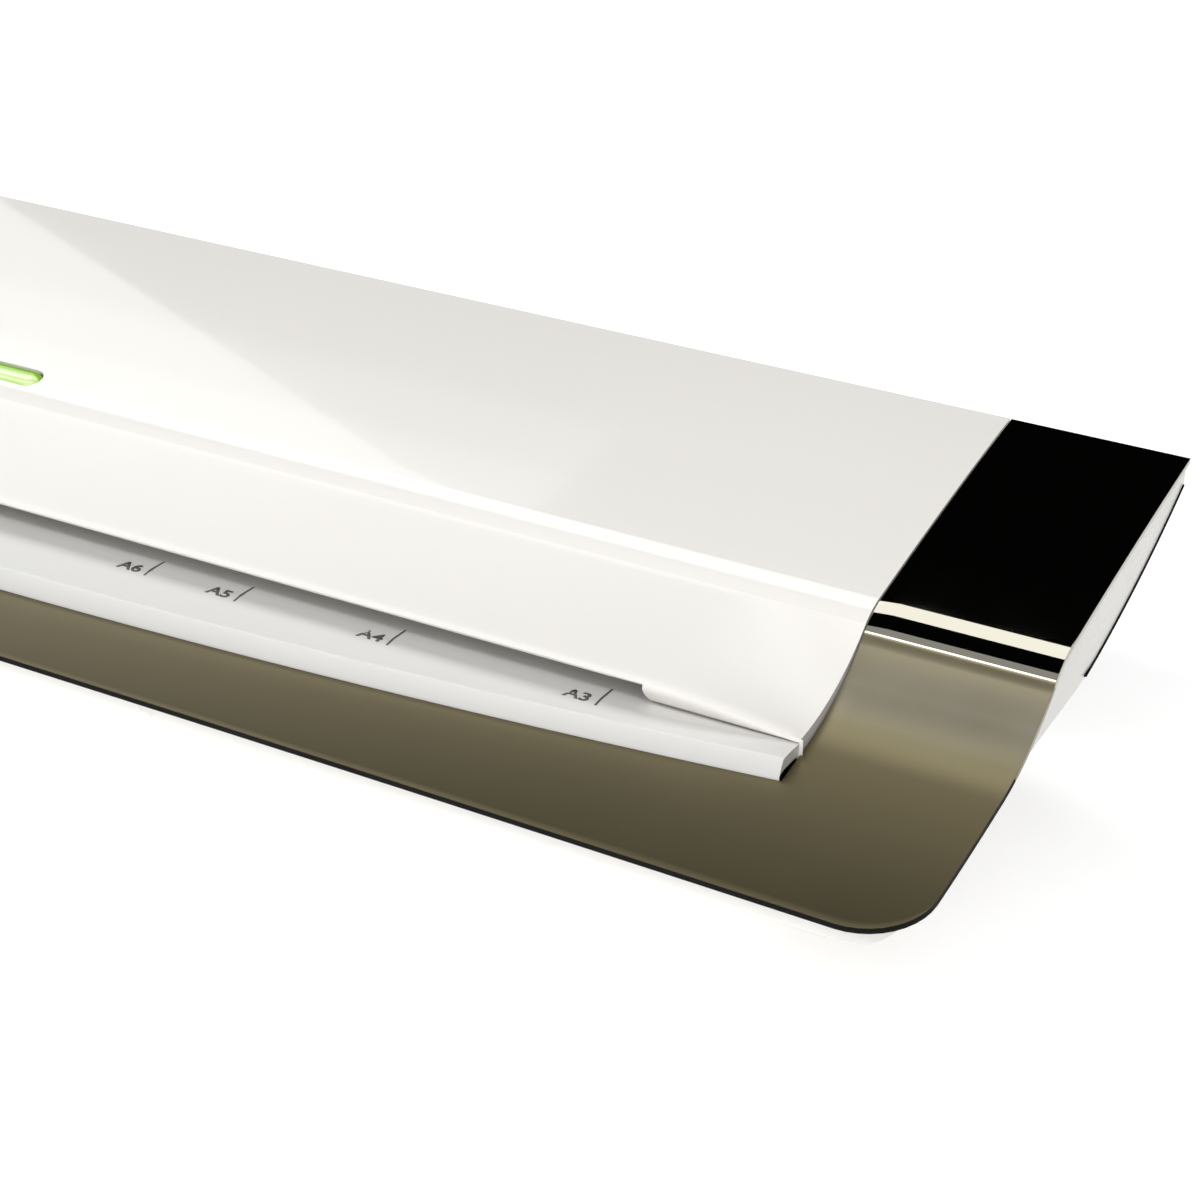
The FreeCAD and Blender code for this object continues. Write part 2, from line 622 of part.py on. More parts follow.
# ---------------------------------------------------------------- chassis
# Two steel side plates carry every shaft; two cross bars hold them apart.
BEARINGS = [(HOT_Y, LOWER_Z), (HOT_Y, UPPER_Z), (PULL_Y, LOWER_Z), (PULL_Y, UPPER_Z)]
PLATE_LOW = "(dims.foot_height + 6)"
plate_nodes = [
    (PLATE_FRONT, "(dims.nip_height - 8)"), ("(%s + 6)" % PLATE_FRONT, PLATE_LOW),
    (PLATE_REAR, PLATE_LOW), (PLATE_REAR, "(%s + 10)" % UPPER_Z),
    ("(%s - 12)" % PULL_Y, "(%s + 9)" % UPPER_Z), ("(%s + 3)" % HOT_Y, "(%s + 7.4)" % UPPER_Z),
    ("(%s - 10)" % HOT_Y, "(%s + 4)" % UPPER_Z), (PLATE_FRONT, "(dims.nip_height + 3.4)"),
]
SEAT = "dims.bush_radius"
plate_holes = [(y, z, SEAT) for y, z in BEARINGS]
motor_hole = [(PINION_Y, PINION_Z, "(dims.shaft_radius + 1)")]
plate("side_plate_left", "-" + PLATE_OUT, "dims.plate_thick", plate_nodes, circles=plate_holes)
plate("side_plate_right", PLATE_X, "dims.plate_thick", plate_nodes,
      circles=plate_holes + motor_hole)

BAR_Z = "(dims.foot_height + 7.5)"
for label, y in (("cross_bar_front", "(%s + 9)" % HOT_Y), ("cross_bar_rear", "(%s - 6.5)" % PLATE_REAR)):
    plate(label, 0, "2 * %s" % PLATE_X,
          [(y, BAR_Z), ("(%s + 6)" % y, BAR_Z), ("(%s + 6)" % y, "(%s + 1.2)" % BAR_Z),
           ("(%s + 1.2)" % y, "(%s + 1.2)" % BAR_Z), ("(%s + 1.2)" % y, "(%s + 7)" % BAR_Z),
           (y, "(%s + 7)" % BAR_Z)], middle=True)

# ---------------------------------------------------------------- rollers
# Two pairs of silicone rollers on steel shafts; the hot pair presses, the pull pair draws.
SHAFT_LEFT = "(-%s - 2.5)" % PLATE_OUT
SHAFT_END = "(%s + dims.gear_width + 1.2)" % GEAR_X
ROLLERS = {"hot_lower": (HOT_Y, LOWER_Z), "hot_upper": (HOT_Y, UPPER_Z),
           "pull_lower": (PULL_Y, LOWER_Z), "pull_upper": (PULL_Y, UPPER_Z)}
SLEEVE = "(%s - dims.nip_gap / 2)" % PITCH_RADIUS
for name, (y, z) in ROLLERS.items():
    ring(name + "_shaft", SHAFT_LEFT, "%s - %s" % (SHAFT_END, SHAFT_LEFT), y, z, "dims.shaft_radius")
    ring(name + "_sleeve", "-" + ROLLER_END, "2 * " + ROLLER_END, y, z, SLEEVE, "dims.shaft_radius")


def flanged_bush(side, y, z):
    """Nylon bush: barrel through the side plate, flange on its inner face."""
    bore = "(dims.shaft_radius + dims.running_gap)"
    barrel_from = PLATE_X if side > 0 else "-(%s + dims.bush_length - 1.5)" % PLATE_X
    flange_from = "(%s - 1.5)" % PLATE_X if side > 0 else "-" + PLATE_X
    barrel = rod("X", barrel_from, y, z, "dims.bush_radius", "(dims.bush_length - 1.5)")
    flange = rod("X", flange_from, y, z, "dims.bush_flange", 1.5)
    hole_from = "(%s - 5)" % PLATE_X if side > 0 else "-(%s + 9)" % PLATE_X
    return cut(fuse([barrel, flange]), [rod("X", hole_from, y, z, bore, 14)])


group("roller_bushes", [flanged_bush(side, y, z) for y, z in ROLLERS.values() for side in (-1, 1)])


# ---------------------------------------------------------------- gears
def gear_shape(teeth, phase, bore):
    """Involute spur gear about X at the origin; phase is the angle of one tooth, in degrees."""
    module = value("dims.gear_module")
    pitch = module * teeth / 2
    pressure = math.radians(20)
    base = pitch * math.cos(pressure)
    tip = pitch + 0.92 * module
    root = pitch - 1.2 * module
    involute = math.tan(pressure) - pressure
    half_tooth = math.pi / (2 * teeth) - value("dims.gear_backlash") / (2 * pitch) / 2 + involute
    flank = []
    for step in range(6):
        radius = base + (tip - base) * step / 5
        angle = math.acos(min(1.0, base / radius))
        flank.append((radius, half_tooth - (math.tan(angle) - angle)))
    if root < base:
        flank.insert(0, (root, flank[0][1] + 0.01))
    points = []
    for tooth in range(int(teeth)):
        centre = math.radians(phase) + 2 * math.pi * tooth / teeth
        rising = [(radius, centre - turn) for radius, turn in flank]
        falling = [(radius, centre + turn) for radius, turn in reversed(flank)]
        points += rising + falling
    corners = [Vector(0, r * math.cos(turn), r * math.sin(turn)) for r, turn in points]
    rim = Part.Face(Part.makePolygon(corners + corners[:1]))
    width = value("dims.gear_width")
    wheel = rim.extrude(Vector(width, 0, 0))
    return wheel.cut(Part.makeCylinder(bore, 3 * width, Vector(-width, 0, 0), Vector(1, 0, 0)))


def meshed_phase(phase, teeth, other_teeth, angle):
    """Phase that puts a gap of the other gear opposite a tooth of this one, along angle."""
    return angle + 180 - 180 / other_teeth + (angle - phase) * teeth / other_teeth


def gear(label, teeth, phase, y, z, bore):
    item = doc.addObject("Part::Feature", label)
    item.Shape = gear_shape(value(teeth), phase, value(bore))
    bind(item, Placement__Base__x=GEAR_X, Placement__Base__y=y, Placement__Base__z=z)
    return keep(item, label)


rollers, idlers = value("dims.roller_teeth"), value("dims.idler_teeth")
reducers, pinions = value("dims.reduction_teeth"), value("dims.pinion_teeth")
phases = {"hot_lower": 0.0}
phases["hot_upper"] = meshed_phase(0.0, rollers, rollers, 90)
phases["idler"] = meshed_phase(0.0, rollers, idlers, 0)
phases["pull_lower"] = meshed_phase(phases["idler"], idlers, rollers, 0)
phases["pull_upper"] = meshed_phase(phases["pull_lower"], rollers, rollers, 90)
reduction_angle, pinion_angle = value("dims.reduction_angle"), value("dims.pinion_angle")
phases["reduction"] = meshed_phase(0.0, rollers, reducers, reduction_angle)
phases["pinion"] = meshed_phase(phases["reduction"], reducers, pinions, pinion_angle)

for name, (y, z) in ROLLERS.items():
    gear(name + "_gear", "dims.roller_teeth", phases[name], y, z, "dims.shaft_radius")
POST = "(dims.shaft_radius - 0.8)"
POST_BORE = "(%s + dims.running_gap)" % POST
MOTOR_SHAFT = "(dims.shaft_radius - 1)"
gear("idler_gear", "dims.idler_teeth", phases["idler"], IDLER_Y, LOWER_Z, POST_BORE)
gear("reduction_gear", "dims.reduction_teeth", phases["reduction"], REDUCTION_Y, REDUCTION_Z, POST_BORE)
gear("motor_pinion", "dims.pinion_teeth", phases["pinion"], PINION_Y, PINION_Z, MOTOR_SHAFT)


def stepped_post(label, y, z):
    """Fixed steel post riveted to the right side plate, with a shoulder behind its gear."""
    shoulder = rod("X", PLATE_OUT, y, z, "(%s + 1.5)" % POST, "(dims.gear_standoff - 0.4)")
    pin = rod("X", PLATE_OUT, y, z, POST, "(dims.gear_standoff + dims.gear_width + 1.5)")
    return keep(fuse([shoulder, pin], label), label)


stepped_post("idler_post", IDLER_Y, LOWER_Z)
stepped_post("reduction_post", REDUCTION_Y, REDUCTION_Z)


def clip(x, y, z, inner):
    """Open retaining clip that snaps round a shaft."""
    disc = rod("X", x, y, z, "(%s + 1.6)" % inner, 0.6)
    mouth = block("(%s - 1)" % x, y, "(%s - %s * 0.7)" % (z, inner), 3, 8, "%s * 1.4" % inner)
    return cut(disc, [rod("X", "(%s - 1)" % x, y, z, inner, 3), mouth])


CLIP_X = "(%s + dims.gear_width + 0.3)" % GEAR_X
clip_places = [(IDLER_Y, LOWER_Z), (REDUCTION_Y, REDUCTION_Z)]
group("gear_clips", [clip(CLIP_X, y, z, POST) for y, z in clip_places])

# ---------------------------------------------------------------- drive motor
MOTOR_END = "(%s - dims.bracket_thick)" % PLATE_X
MOTOR_START = "(%s - dims.motor_length)" % MOTOR_END
can = rod("X", MOTOR_START, PINION_Y, PINION_Z, "dims.motor_radius", "(dims.motor_length - 0.01)")
collar = rod("X", "(%s - 3)" % MOTOR_START, PINION_Y, PINION_Z, "(dims.shaft_radius + 1.5)", 4)
keep(fuse([can, collar], "drive_motor"), "drive_motor")
plate("motor_bracket", MOTOR_END, "dims.bracket_thick",
      [("(%s - 12)" % PINION_Y, "(%s - 9)" % PINION_Z), ("(%s + 12)" % PINION_Y, "(%s - 9)" % PINION_Z),
       ("(%s + 12)" % PINION_Y, "(%s + 9)" % PINION_Z), ("(%s - 12)" % PINION_Y, "(%s + 9)" % PINION_Z)],
      circles=[(PINION_Y, PINION_Z, "(dims.shaft_radius + 1)")])
ring("motor_shaft", "(%s + 0.1)" % MOTOR_END, "%s - %s" % (SHAFT_END, MOTOR_END), PINION_Y, PINION_Z,
     MOTOR_SHAFT)

# ---------------------------------------------------------------- heating
# Aluminium shoes above and below the film path, each with a flat heater strip on its back.
HEAT_HALF = "(%s - 2)" % ROLLER_END
lower_top = "(dims.nip_height - dims.heat_gap)"
upper_low = "(dims.nip_height + dims.heat_gap)"
for name, z in (("lower", "(%s - dims.heat_thick)" % lower_top), ("upper", upper_low)):
    flare = "0" if name == "upper" else "dims.heat_thick"
    back = "dims.heat_thick" if name == "upper" else "0"
    plate("heat_plate_" + name, 0, "2 * " + HEAT_HALF,
          [("(%s + 3)" % HEAT_FRONT, "(%s + %s)" % (z, flare)),
           (HEAT_FRONT, "(%s + dims.heat_thick / 2)" % z),
           ("(%s + 1)" % HEAT_FRONT, "(%s + %s)" % (z, back)),
           (HEAT_REAR, "(%s + %s)" % (z, back)), (HEAT_REAR, "(%s + %s)" % (z, flare))], middle=True)
for name, z in (("lower", "(%s - dims.heat_thick - dims.strip_thick)" % lower_top),
                ("upper", "(%s + dims.heat_thick)" % upper_low)):
    keep(bind(block("-(%s - 8)" % HEAT_HALF, "(%s + 5)" % HEAT_FRONT, z, "2 * (%s - 8)" % HEAT_HALF,
                    "(dims.heat_depth - 9)", "dims.strip_thick", "heater_strip_" + name)),
         "heater_strip_" + name)

STRIP_TOP = "(%s + dims.heat_thick + dims.strip_thick)" % upper_low
STRIP_BOTTOM = "(%s - dims.heat_thick - dims.strip_thick)" % lower_top
SENSOR_Y = "(%s + dims.heat_depth / 2)" % HEAT_FRONT
keep(fuse([rod("Z", 40, SENSOR_Y, "(%s - 6)" % STRIP_BOTTOM, 6, 6),
           block(31, "(%s - 2)" % SENSOR_Y, "(%s - 6.6)" % STRIP_BOTTOM, 18, 4, 0.8)],
          "thermostat"), "thermostat")
keep(fuse([rod("X", -70, SENSOR_Y, "(%s - 2)" % STRIP_BOTTOM, 2, 12),
           rod("X", -84, SENSOR_Y, "(%s - 2)" % STRIP_BOTTOM, 0.6, 40)],
          "thermal_fuse"), "thermal_fuse")
keep(block(-6, "(%s - 4)" % SENSOR_Y, "(%s - 2)" % STRIP_BOTTOM, 10, 8, 2, "temperature_sensor"),
     "temperature_sensor")

# ---------------------------------------------------------------- guides between the roller pairs
GUIDE_FROM = "(%s + %s + 0.8)" % (HOT_Y, PITCH_RADIUS)
GUIDE_TO = "(%s - %s - 0.8)" % (PULL_Y, PITCH_RADIUS)
for name, sign in (("lower", "-"), ("upper", "+")):
    near = "(dims.nip_height %s 1.6)" % sign
    far = "(dims.nip_height %s 2.8)" % sign
    low, high = (far, near) if sign == "-" else (near, far)
    plate("film_guide_" + name, 0, "2 * " + HEAT_HALF,
          [(GUIDE_FROM, low), (GUIDE_TO, low), (GUIDE_TO, high), (GUIDE_FROM, high)], middle=True)

# ---------------------------------------------------------------- pressure springs
# One leaf spring at each end, held at the plate's middle, pressing on both upper bushes.
LEAF_Z = "(%s + dims.bush_flange)" % UPPER_Z
group("leaf_springs", [block(x, "(%s - 3)" % HOT_Y, LEAF_Z, 1.5, "(%s - %s + 7)" % (PULL_Y, HOT_Y), 0.6)
                       for x in ("-" + PLATE_X, "(%s - 1.5)" % PLATE_X)])

# ---------------------------------------------------------------- start button
# Lit pill-shaped key in the top cover, on a coil spring over a small board.
key = body("start_button")
cap_sketch = body_sketch(key, "XY")
draw_pill(cap_sketch, "0", "0", "dims.button_length", "dims.button_width")
pad(key, cap_sketch, "dims.button_height")
stem_sketch = body_sketch(key, "XY", "0.01")
draw_circle(stem_sketch, "0", "0", 1)
pad(key, stem_sketch, 4, back=True)
tilted(key, "dims.button_proud - dims.button_height")

# The spring's wire is drawn with twelve flats, so that its mesh follows its faces closely.
SPRING_LENGTH, SPRING_PITCH, COIL_RADIUS, WIRE_RADIUS, WIRE_FLATS = 2.9, 1.15, 1.75, 0.3, 12
spring_helix = Part.makeHelix(SPRING_PITCH, SPRING_LENGTH - 2 * WIRE_RADIUS, COIL_RADIUS)
outwards = Vector(WIRE_RADIUS, 0, 0)
upwards = Vector(0, -SPRING_PITCH, 2 * math.pi * COIL_RADIUS).normalize() * WIRE_RADIUS
wire_corners = []
for corner in range(WIRE_FLATS + 1):
    turn = 2 * math.pi * corner / WIRE_FLATS
    wire_corners.append(Vector(COIL_RADIUS, 0, 0) + outwards * math.cos(turn) + upwards * math.sin(turn))
spring_wire = Part.makePolygon(wire_corners)
key_spring = doc.addObject("Part::Feature", "button_spring")
key_spring.Shape = Part.Wire(spring_helix.Edges).makePipeShell([spring_wire], True, True)
tilted(key_spring, "dims.button_proud - dims.button_height - %g" % (SPRING_LENGTH + 0.05 - WIRE_RADIUS))
keep(key_spring, "button_spring")

BOARD_DROP = "dims.button_proud - dims.button_height - 4.2"
button_board = body("button_board")
board_sketch = body_sketch(button_board, "XY")
draw_box(board_sketch, -20, -4, 20, 4)
draw_circle(board_sketch, 0, 0, 1.4)
pad(button_board, board_sketch, 1.2)
tilted(button_board, BOARD_DROP)
lamps = []
for lamp_x in (-7.0, 7.0):
    lamps.append(tilted(bind(doc.addObject("Part::Cylinder", "lamp"), Radius=1.1, Height=1.6),
                        "(%s + 1.2)" % BOARD_DROP, "(dims.button_x + %g)" % lamp_x))
group("button_lamps", lamps)

# ---------------------------------------------------------------- mains inlet
REAR_IN = "(%s - dims.shell_wall)" % HULL_REAR
inlet_shell = block("(%s - dims.inlet_width / 2 + 0.15)" % INLET_X, "(%s - dims.inlet_depth)" % REAR_Y,
                    "(dims.inlet_height - dims.inlet_tall / 2 + 0.15)", "(dims.inlet_width - 0.3)",
                    "(dims.inlet_depth + 0.5)", "(dims.inlet_tall - 0.3)")
inlet_cup = block("(%s - dims.inlet_width / 2 + 2)" % INLET_X, "(%s - dims.inlet_depth + 4)" % REAR_Y,
                  "(dims.inlet_height - dims.inlet_tall / 2 + 2)", "(dims.inlet_width - 4)",
                  "(dims.inlet_depth + 2)", "(dims.inlet_tall - 4)")
keep(cut(inlet_shell, [inlet_cup], "power_inlet"), "power_inlet")
group("inlet_pins", [rod("Y", "(%s %+g)" % (INLET_X, shift), "(%s - dims.inlet_depth + 4)" % REAR_Y,
                         "dims.inlet_height", 1.2, "(dims.inlet_depth - 7)") for shift in (-4.3, 4.3)])

# ---------------------------------------------------------------- control board
BOARD_X, BOARD_LONG = -130, 96
CONTROL_Y = "(%s + 16)" % BASE_Y
CONTROL_Z = "(%s + 5)" % FLOOR_Z
BOARD_DEEP = 24
control_board = body("control_board")
control_sketch = body_sketch(control_board, "XY", CONTROL_Z)
control_holes = [(BOARD_X + 4 + shift_x, "(%s + %g)" % (CONTROL_Y, shift_y))
                 for shift_x in (0, BOARD_LONG - 8) for shift_y in (4, BOARD_DEEP - 4)]
draw_box(control_sketch, BOARD_X, CONTROL_Y, BOARD_X + BOARD_LONG, "(%s + %g)" % (CONTROL_Y, BOARD_DEEP))
for x, y in control_holes:
    draw_circle(control_sketch, x, y, 1.6)
pad(control_board, control_sketch, 1.6)
BOARD_TOP = "(%s + 1.6)" % CONTROL_Z
board_screws = []
for x, y in control_holes:
    board_screws.append(fuse([rod("Z", x, y, FLOOR_Z + " + 1.7", 1.5, 5.9),
                              rod("Z", x, y, BOARD_TOP, 2.8, 1.6)]))
group("board_screws", board_screws)
keep(block(BOARD_X + 14, "(%s + 4)" % CONTROL_Y, BOARD_TOP, 19, 15, 8, "relay"), "relay")
keep(rod("Z", BOARD_X + 44, "(%s + 12)" % CONTROL_Y, BOARD_TOP, 4, 8, "capacitor"), "capacitor")
keep(block(BOARD_X + 58, "(%s + 14)" % CONTROL_Y, BOARD_TOP, 28, 7, 6, "terminal_block"), "terminal_block")

# ---------------------------------------------------------------- case screws
# Heads of the screws that hold the bottom cover to the hull.
cover_screws = []
for x in ("-(%s + 2.5)" % SERVICE_X, "(%s + 2.5)" % SERVICE_X):
    for y in ("(%s + 2)" % SERVICE_Y0, "(%s - 2)" % SERVICE_Y1):
        cover_screws.append(rod("Z", x, y, "(%s + %g)" % (FLOOR_Z, PANEL_THICK), 2.2, 1.3))
group("cover_screws", cover_screws)

# ---------------------------------------------------------------- check and write
doc.recompute()
for item in doc.Objects:
    if "Invalid" in item.State or "Error" in item.State:
        raise RuntimeError("%s (%s) failed: %s" % (item.Label, item.Name, item.State))
os.makedirs("parts", exist_ok=True)
for piece in pieces:
    if piece.Shape.isNull() or not piece.Shape.isValid():
        raise RuntimeError("%s has no valid shape" % piece.Label)
    piece.Shape.exportStep("parts/%s.step" % piece.Label)
print("%d nodes" % len(pieces))
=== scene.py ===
import math

import bpy
from mathutils import Matrix, Vector


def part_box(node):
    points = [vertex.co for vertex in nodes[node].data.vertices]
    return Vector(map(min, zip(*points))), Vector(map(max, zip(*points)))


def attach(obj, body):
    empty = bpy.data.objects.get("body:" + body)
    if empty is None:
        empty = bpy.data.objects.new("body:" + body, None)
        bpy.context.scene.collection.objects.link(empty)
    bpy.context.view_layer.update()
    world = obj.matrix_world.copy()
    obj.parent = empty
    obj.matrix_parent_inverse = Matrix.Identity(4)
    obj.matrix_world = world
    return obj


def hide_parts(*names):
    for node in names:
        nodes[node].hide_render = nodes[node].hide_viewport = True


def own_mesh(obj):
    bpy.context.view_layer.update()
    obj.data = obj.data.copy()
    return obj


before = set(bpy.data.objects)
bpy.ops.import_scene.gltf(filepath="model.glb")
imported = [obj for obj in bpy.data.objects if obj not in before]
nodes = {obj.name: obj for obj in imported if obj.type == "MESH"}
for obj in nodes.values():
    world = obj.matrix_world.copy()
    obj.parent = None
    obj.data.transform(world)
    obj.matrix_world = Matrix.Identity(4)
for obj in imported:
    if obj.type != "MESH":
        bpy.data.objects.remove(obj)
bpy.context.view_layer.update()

MM = 0.001


# ---------------------------------------------------------------- bronze trim frame
# The real piece is one injection-moulded U: a broad bar in front and an arm up each side of the
# cover. Its face is lacquered, satin bronze on the bar and the hollow risers, and polished nearly
# black on top of the arms. The faces under its edges are painted black as shadow. It clips down
# over the hull.
trim_low, trim_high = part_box("frame_trim")
HALF_WIDTH = trim_high.x
FRONT_Y = trim_low.y
REAR_Y = trim_high.y
CORNER = 12 * MM
BAR_DEPTH = 18 * MM
LIP_BOW = 9.5 * MM
ARM_WIDTH = 34.5 * MM
ARM_INNER = HALF_WIDTH - ARM_WIDTH
TRIM_THICK = 1.2 * MM
LIP_Y = FRONT_Y + BAR_DEPTH
OVERHANG_Y = LIP_Y + 13.1 * MM
CREASE_Y = OVERHANG_Y + 33.4 * MM
RISER_Y = CREASE_Y - 6.5 * MM
APRON_Y = RISER_Y - 22 * MM
FRONT_Z, APRON_Z, RISER_Z = 30 * MM, 37 * MM, 49.3 * MM
CREASE_Z, REAR_Z = 53.3 * MM, trim_high.z
BAR_RADIUS, APRON_RADIUS, CREASE_RADIUS, CROWN_RADIUS = 400 * MM, 42 * MM, 14 * MM, 900 * MM
GROOVE_HALF, GROOVE_DEPTH = 0.18 * MM, 0.12 * MM
SHADOW_DEPTH_FRONT, SHADOW_DEPTH_REAR = 0.5 * MM, 1.4 * MM
UNDER_SHADOW_DEPTH = 0.2 * MM
FRONT_BOW = 1.5 * MM
TRIM_EDGE = 0.45 * MM
CLOSE = 0.01 * MM


def deselect():
    """Nothing selected, object mode, so that the next operator acts on one thing."""
    if bpy.context.object and bpy.context.object.mode != "OBJECT":
        bpy.ops.object.mode_set(mode="OBJECT")
    bpy.ops.object.select_all(action="DESELECT")


def only(piece):
    deselect()
    piece.select_set(True)
    bpy.context.view_layer.objects.active = piece


def name_it(name):
    piece = bpy.context.object
    piece.name = name
    piece.data.name = name
    return piece


def settle(piece):
    """Place, turn and scale go into the mesh, so that the object sits at the origin."""
    only(piece)
    bpy.ops.object.transform_apply(location=True, rotation=True, scale=True)
    return piece


def modify(piece, kind, **settings):
    """Adds a modifier with these settings and applies it."""
    only(piece)
    modifier = piece.modifiers.new(kind.lower(), kind)
    for key, setting in settings.items():
        setattr(modifier, key, setting)
    bpy.ops.object.modifier_apply(modifier=modifier.name)
    return piece


def outward(piece):
    """Doubles merged and every face turned outwards."""
    only(piece)
    bpy.ops.object.mode_set(mode="EDIT")
    bpy.ops.mesh.select_all(action="SELECT")
    bpy.ops.mesh.remove_doubles(threshold=0.002 * MM)
    bpy.ops.mesh.normals_make_consistent(inside=False)
    bpy.ops.object.mode_set(mode="OBJECT")
    return piece


def smooth(piece, degrees=35):
    only(piece)
    bpy.ops.object.shade_smooth_by_angle(angle=math.radians(degrees))
    return piece


def sheet_grid(name, columns, rows, place):
    """A grid primitive bent to shape: place(u, v) gives each vertex, u and v from 0 to 1."""
    deselect()
    bpy.ops.mesh.primitive_grid_add(x_subdivisions=columns, y_subdivisions=rows, size=1,
                                    location=(0.5, 0.5, 0))
    piece = settle(name_it(name))
    for vertex in piece.data.vertices:
        vertex.co = place(vertex.co.x, vertex.co.y)
    return piece


def push_edges(piece, choose, *moves):
    """Selects the open edges whose middle passes choose, and extrudes them by each move in turn."""
    only(piece)
    bpy.ops.object.mode_set(mode="EDIT")
    bpy.ops.mesh.select_mode(type="EDGE")
    bpy.ops.mesh.select_all(action="DESELECT")
    bpy.ops.mesh.select_non_manifold(extend=False)
    bpy.ops.object.mode_set(mode="OBJECT")
    points = piece.data.vertices
    for edge in piece.data.edges:
        middle = (points[edge.vertices[0]].co + points[edge.vertices[1]].co) / 2
        edge.select = edge.select and choose(middle)
    for vertex in points:
        vertex.select = False
    for edge in piece.data.edges:
        if edge.select:
            points[edge.vertices[0]].select = points[edge.vertices[1]].select = True
    bpy.ops.object.mode_set(mode="EDIT")
    for move in moves:
        bpy.ops.mesh.extrude_region_move(TRANSFORM_OT_translate={"value": move})
    bpy.ops.object.mode_set(mode="OBJECT")
    return piece


def ease(t):
    """Smooth step from 0 to 1."""
    t = min(max(t, 0.0), 1.0)
    return t * t * (3 - 2 * t)


def mix(a, b, t):
    return a + (b - a) * t


def arc_height(y, start, stop, radius, side):
    """Height at y on the arc from start to stop; side is 1 where it bulges up, -1 down."""
    start, stop = Vector(start), Vector(stop)
    chord = stop - start
    left = Vector((-chord.y, chord.x)).normalized()
    centre = (start + stop) / 2 - left * side * math.sqrt(radius ** 2 - (chord.length / 2) ** 2)
    return centre.y + side * math.sqrt(max(radius ** 2 - (y - centre.x) ** 2, 0))


def crown_height(y):
    """The long crowned top, shared by the arms and the cover."""
    return arc_height(y, (CREASE_Y, CREASE_Z), (REAR_Y, REAR_Z), CROWN_RADIUS, 1)


def trim_height(y):
    """Height of the trim's face: sloping bar, hollow riser, rounded crease, crowned top."""
    if y < APRON_Y:
        return arc_height(y, (FRONT_Y, FRONT_Z), (APRON_Y, APRON_Z), BAR_RADIUS, -1)
    if y < RISER_Y:
        return arc_height(y, (APRON_Y, APRON_Z), (RISER_Y, RISER_Z), APRON_RADIUS, -1)
    if y < CREASE_Y:
        return arc_height(y, (RISER_Y, RISER_Z), (CREASE_Y, CREASE_Z), CREASE_RADIUS, 1)
    return crown_height(y)


def front_edge(x):
    """Front edge seen from above: drawn back a little in the middle, with rounded corners."""
    past = abs(x) - (HALF_WIDTH - CORNER)
    if past <= 0:
        return FRONT_Y + FRONT_BOW * (1 - (x / (HALF_WIDTH - CORNER)) ** 2)
    return FRONT_Y + CORNER - math.sqrt(max(CORNER ** 2 - past ** 2, 0))


def lip_edge(x):
    """The bowed line where the bar meets the shelf; straight on past the arms' inner edges."""
    radius = (ARM_INNER ** 2 + LIP_BOW ** 2) / (2 * LIP_BOW)
    x = min(abs(x), ARM_INNER)
    return LIP_Y + radius - math.sqrt(radius ** 2 - x ** 2)


def spread(u, stops):
    """Runs evenly through the stops as u goes from 0 to 1."""
    step = min(int(u * (len(stops) - 1) + 1e-6), len(stops) - 2)
    return mix(stops[step], stops[step + 1], u * (len(stops) - 1) - step)


CORNER_STEPS, ARM_STEPS, MIDDLE_STEPS = 10, 6, 24
BAR_ROWS, RISER_ROWS, CREASE_ROWS, CROWN_ROWS = 16, 24, 14, 20
middle_stops = [ARM_INNER * k / MIDDLE_STEPS for k in range(-MIDDLE_STEPS, MIDDLE_STEPS + 1)]
right_stops = [mix(ARM_INNER, HALF_WIDTH - CORNER, k / ARM_STEPS) for k in range(1, ARM_STEPS)]
right_stops += [HALF_WIDTH - CORNER + CORNER * math.sin(math.pi / 2 * k / CORNER_STEPS)
                for k in range(CORNER_STEPS + 1)]
trim_stops = [-x for x in reversed(right_stops)] + middle_stops + right_stops


def place_bar(u, v):
    x = spread(u, trim_stops)
    y = mix(front_edge(x), lip_edge(x), v)
    return Vector((x, y, trim_height(y)))


trim = sheet_grid("trim_frame", len(trim_stops) - 1, BAR_ROWS, place_bar)
arm_start = lip_edge(ARM_INNER)
groove_rows = [(RISER_Y - GROOVE_HALF, 0), (RISER_Y, GROOVE_DEPTH), (RISER_Y + GROOVE_HALF, 0)]
arm_rows = [(mix(arm_start, RISER_Y - GROOVE_HALF, k / RISER_ROWS), 0)
            for k in range(1, RISER_ROWS)] + groove_rows
arm_rows += [(mix(RISER_Y + GROOVE_HALF, CREASE_Y, k / CREASE_ROWS), 0)
             for k in range(1, CREASE_ROWS + 1)]
arm_rows += [(mix(CREASE_Y, REAR_Y, k / CROWN_ROWS), 0) for k in range(1, CROWN_ROWS + 1)]
arm_moves, last = [], Vector((0, arm_start, trim_height(arm_start)))
for y, sunk in arm_rows:
    following = Vector((0, y, trim_height(y) - sunk))
    arm_moves.append(tuple(following - last))
    last = following
push_edges(trim, lambda p: p.y > arm_start - CLOSE and abs(p.x) > ARM_INNER, *arm_moves)
modify(trim, "SOLIDIFY", thickness=TRIM_THICK, offset=-1, use_even_offset=True)
modify(trim, "BEVEL", width=TRIM_EDGE, segments=4, limit_method="ANGLE",
       angle_limit=math.radians(60), profile=0.5)
smooth(outward(trim), 40)


def shader(name):
    """New material; gives it, a maker of nodes, a joiner of them to the shader, and the shader."""
    material = bpy.data.materials.new(name)
    material.use_nodes = True
    tree = material.node_tree
    main = tree.nodes["Principled BSDF"]

    def add(kind, **inputs):
        node = tree.nodes.new(kind)
        for socket, source in inputs.items():
            socket = socket.replace("_", " ")
            if isinstance(source, bpy.types.NodeSocket):
                tree.links.new(source, node.inputs[socket])
            else:
                node.inputs[socket].default_value = source
        return node

    def join(source, socket):
        tree.links.new(source, main.inputs[socket])

    return material, add, join, main


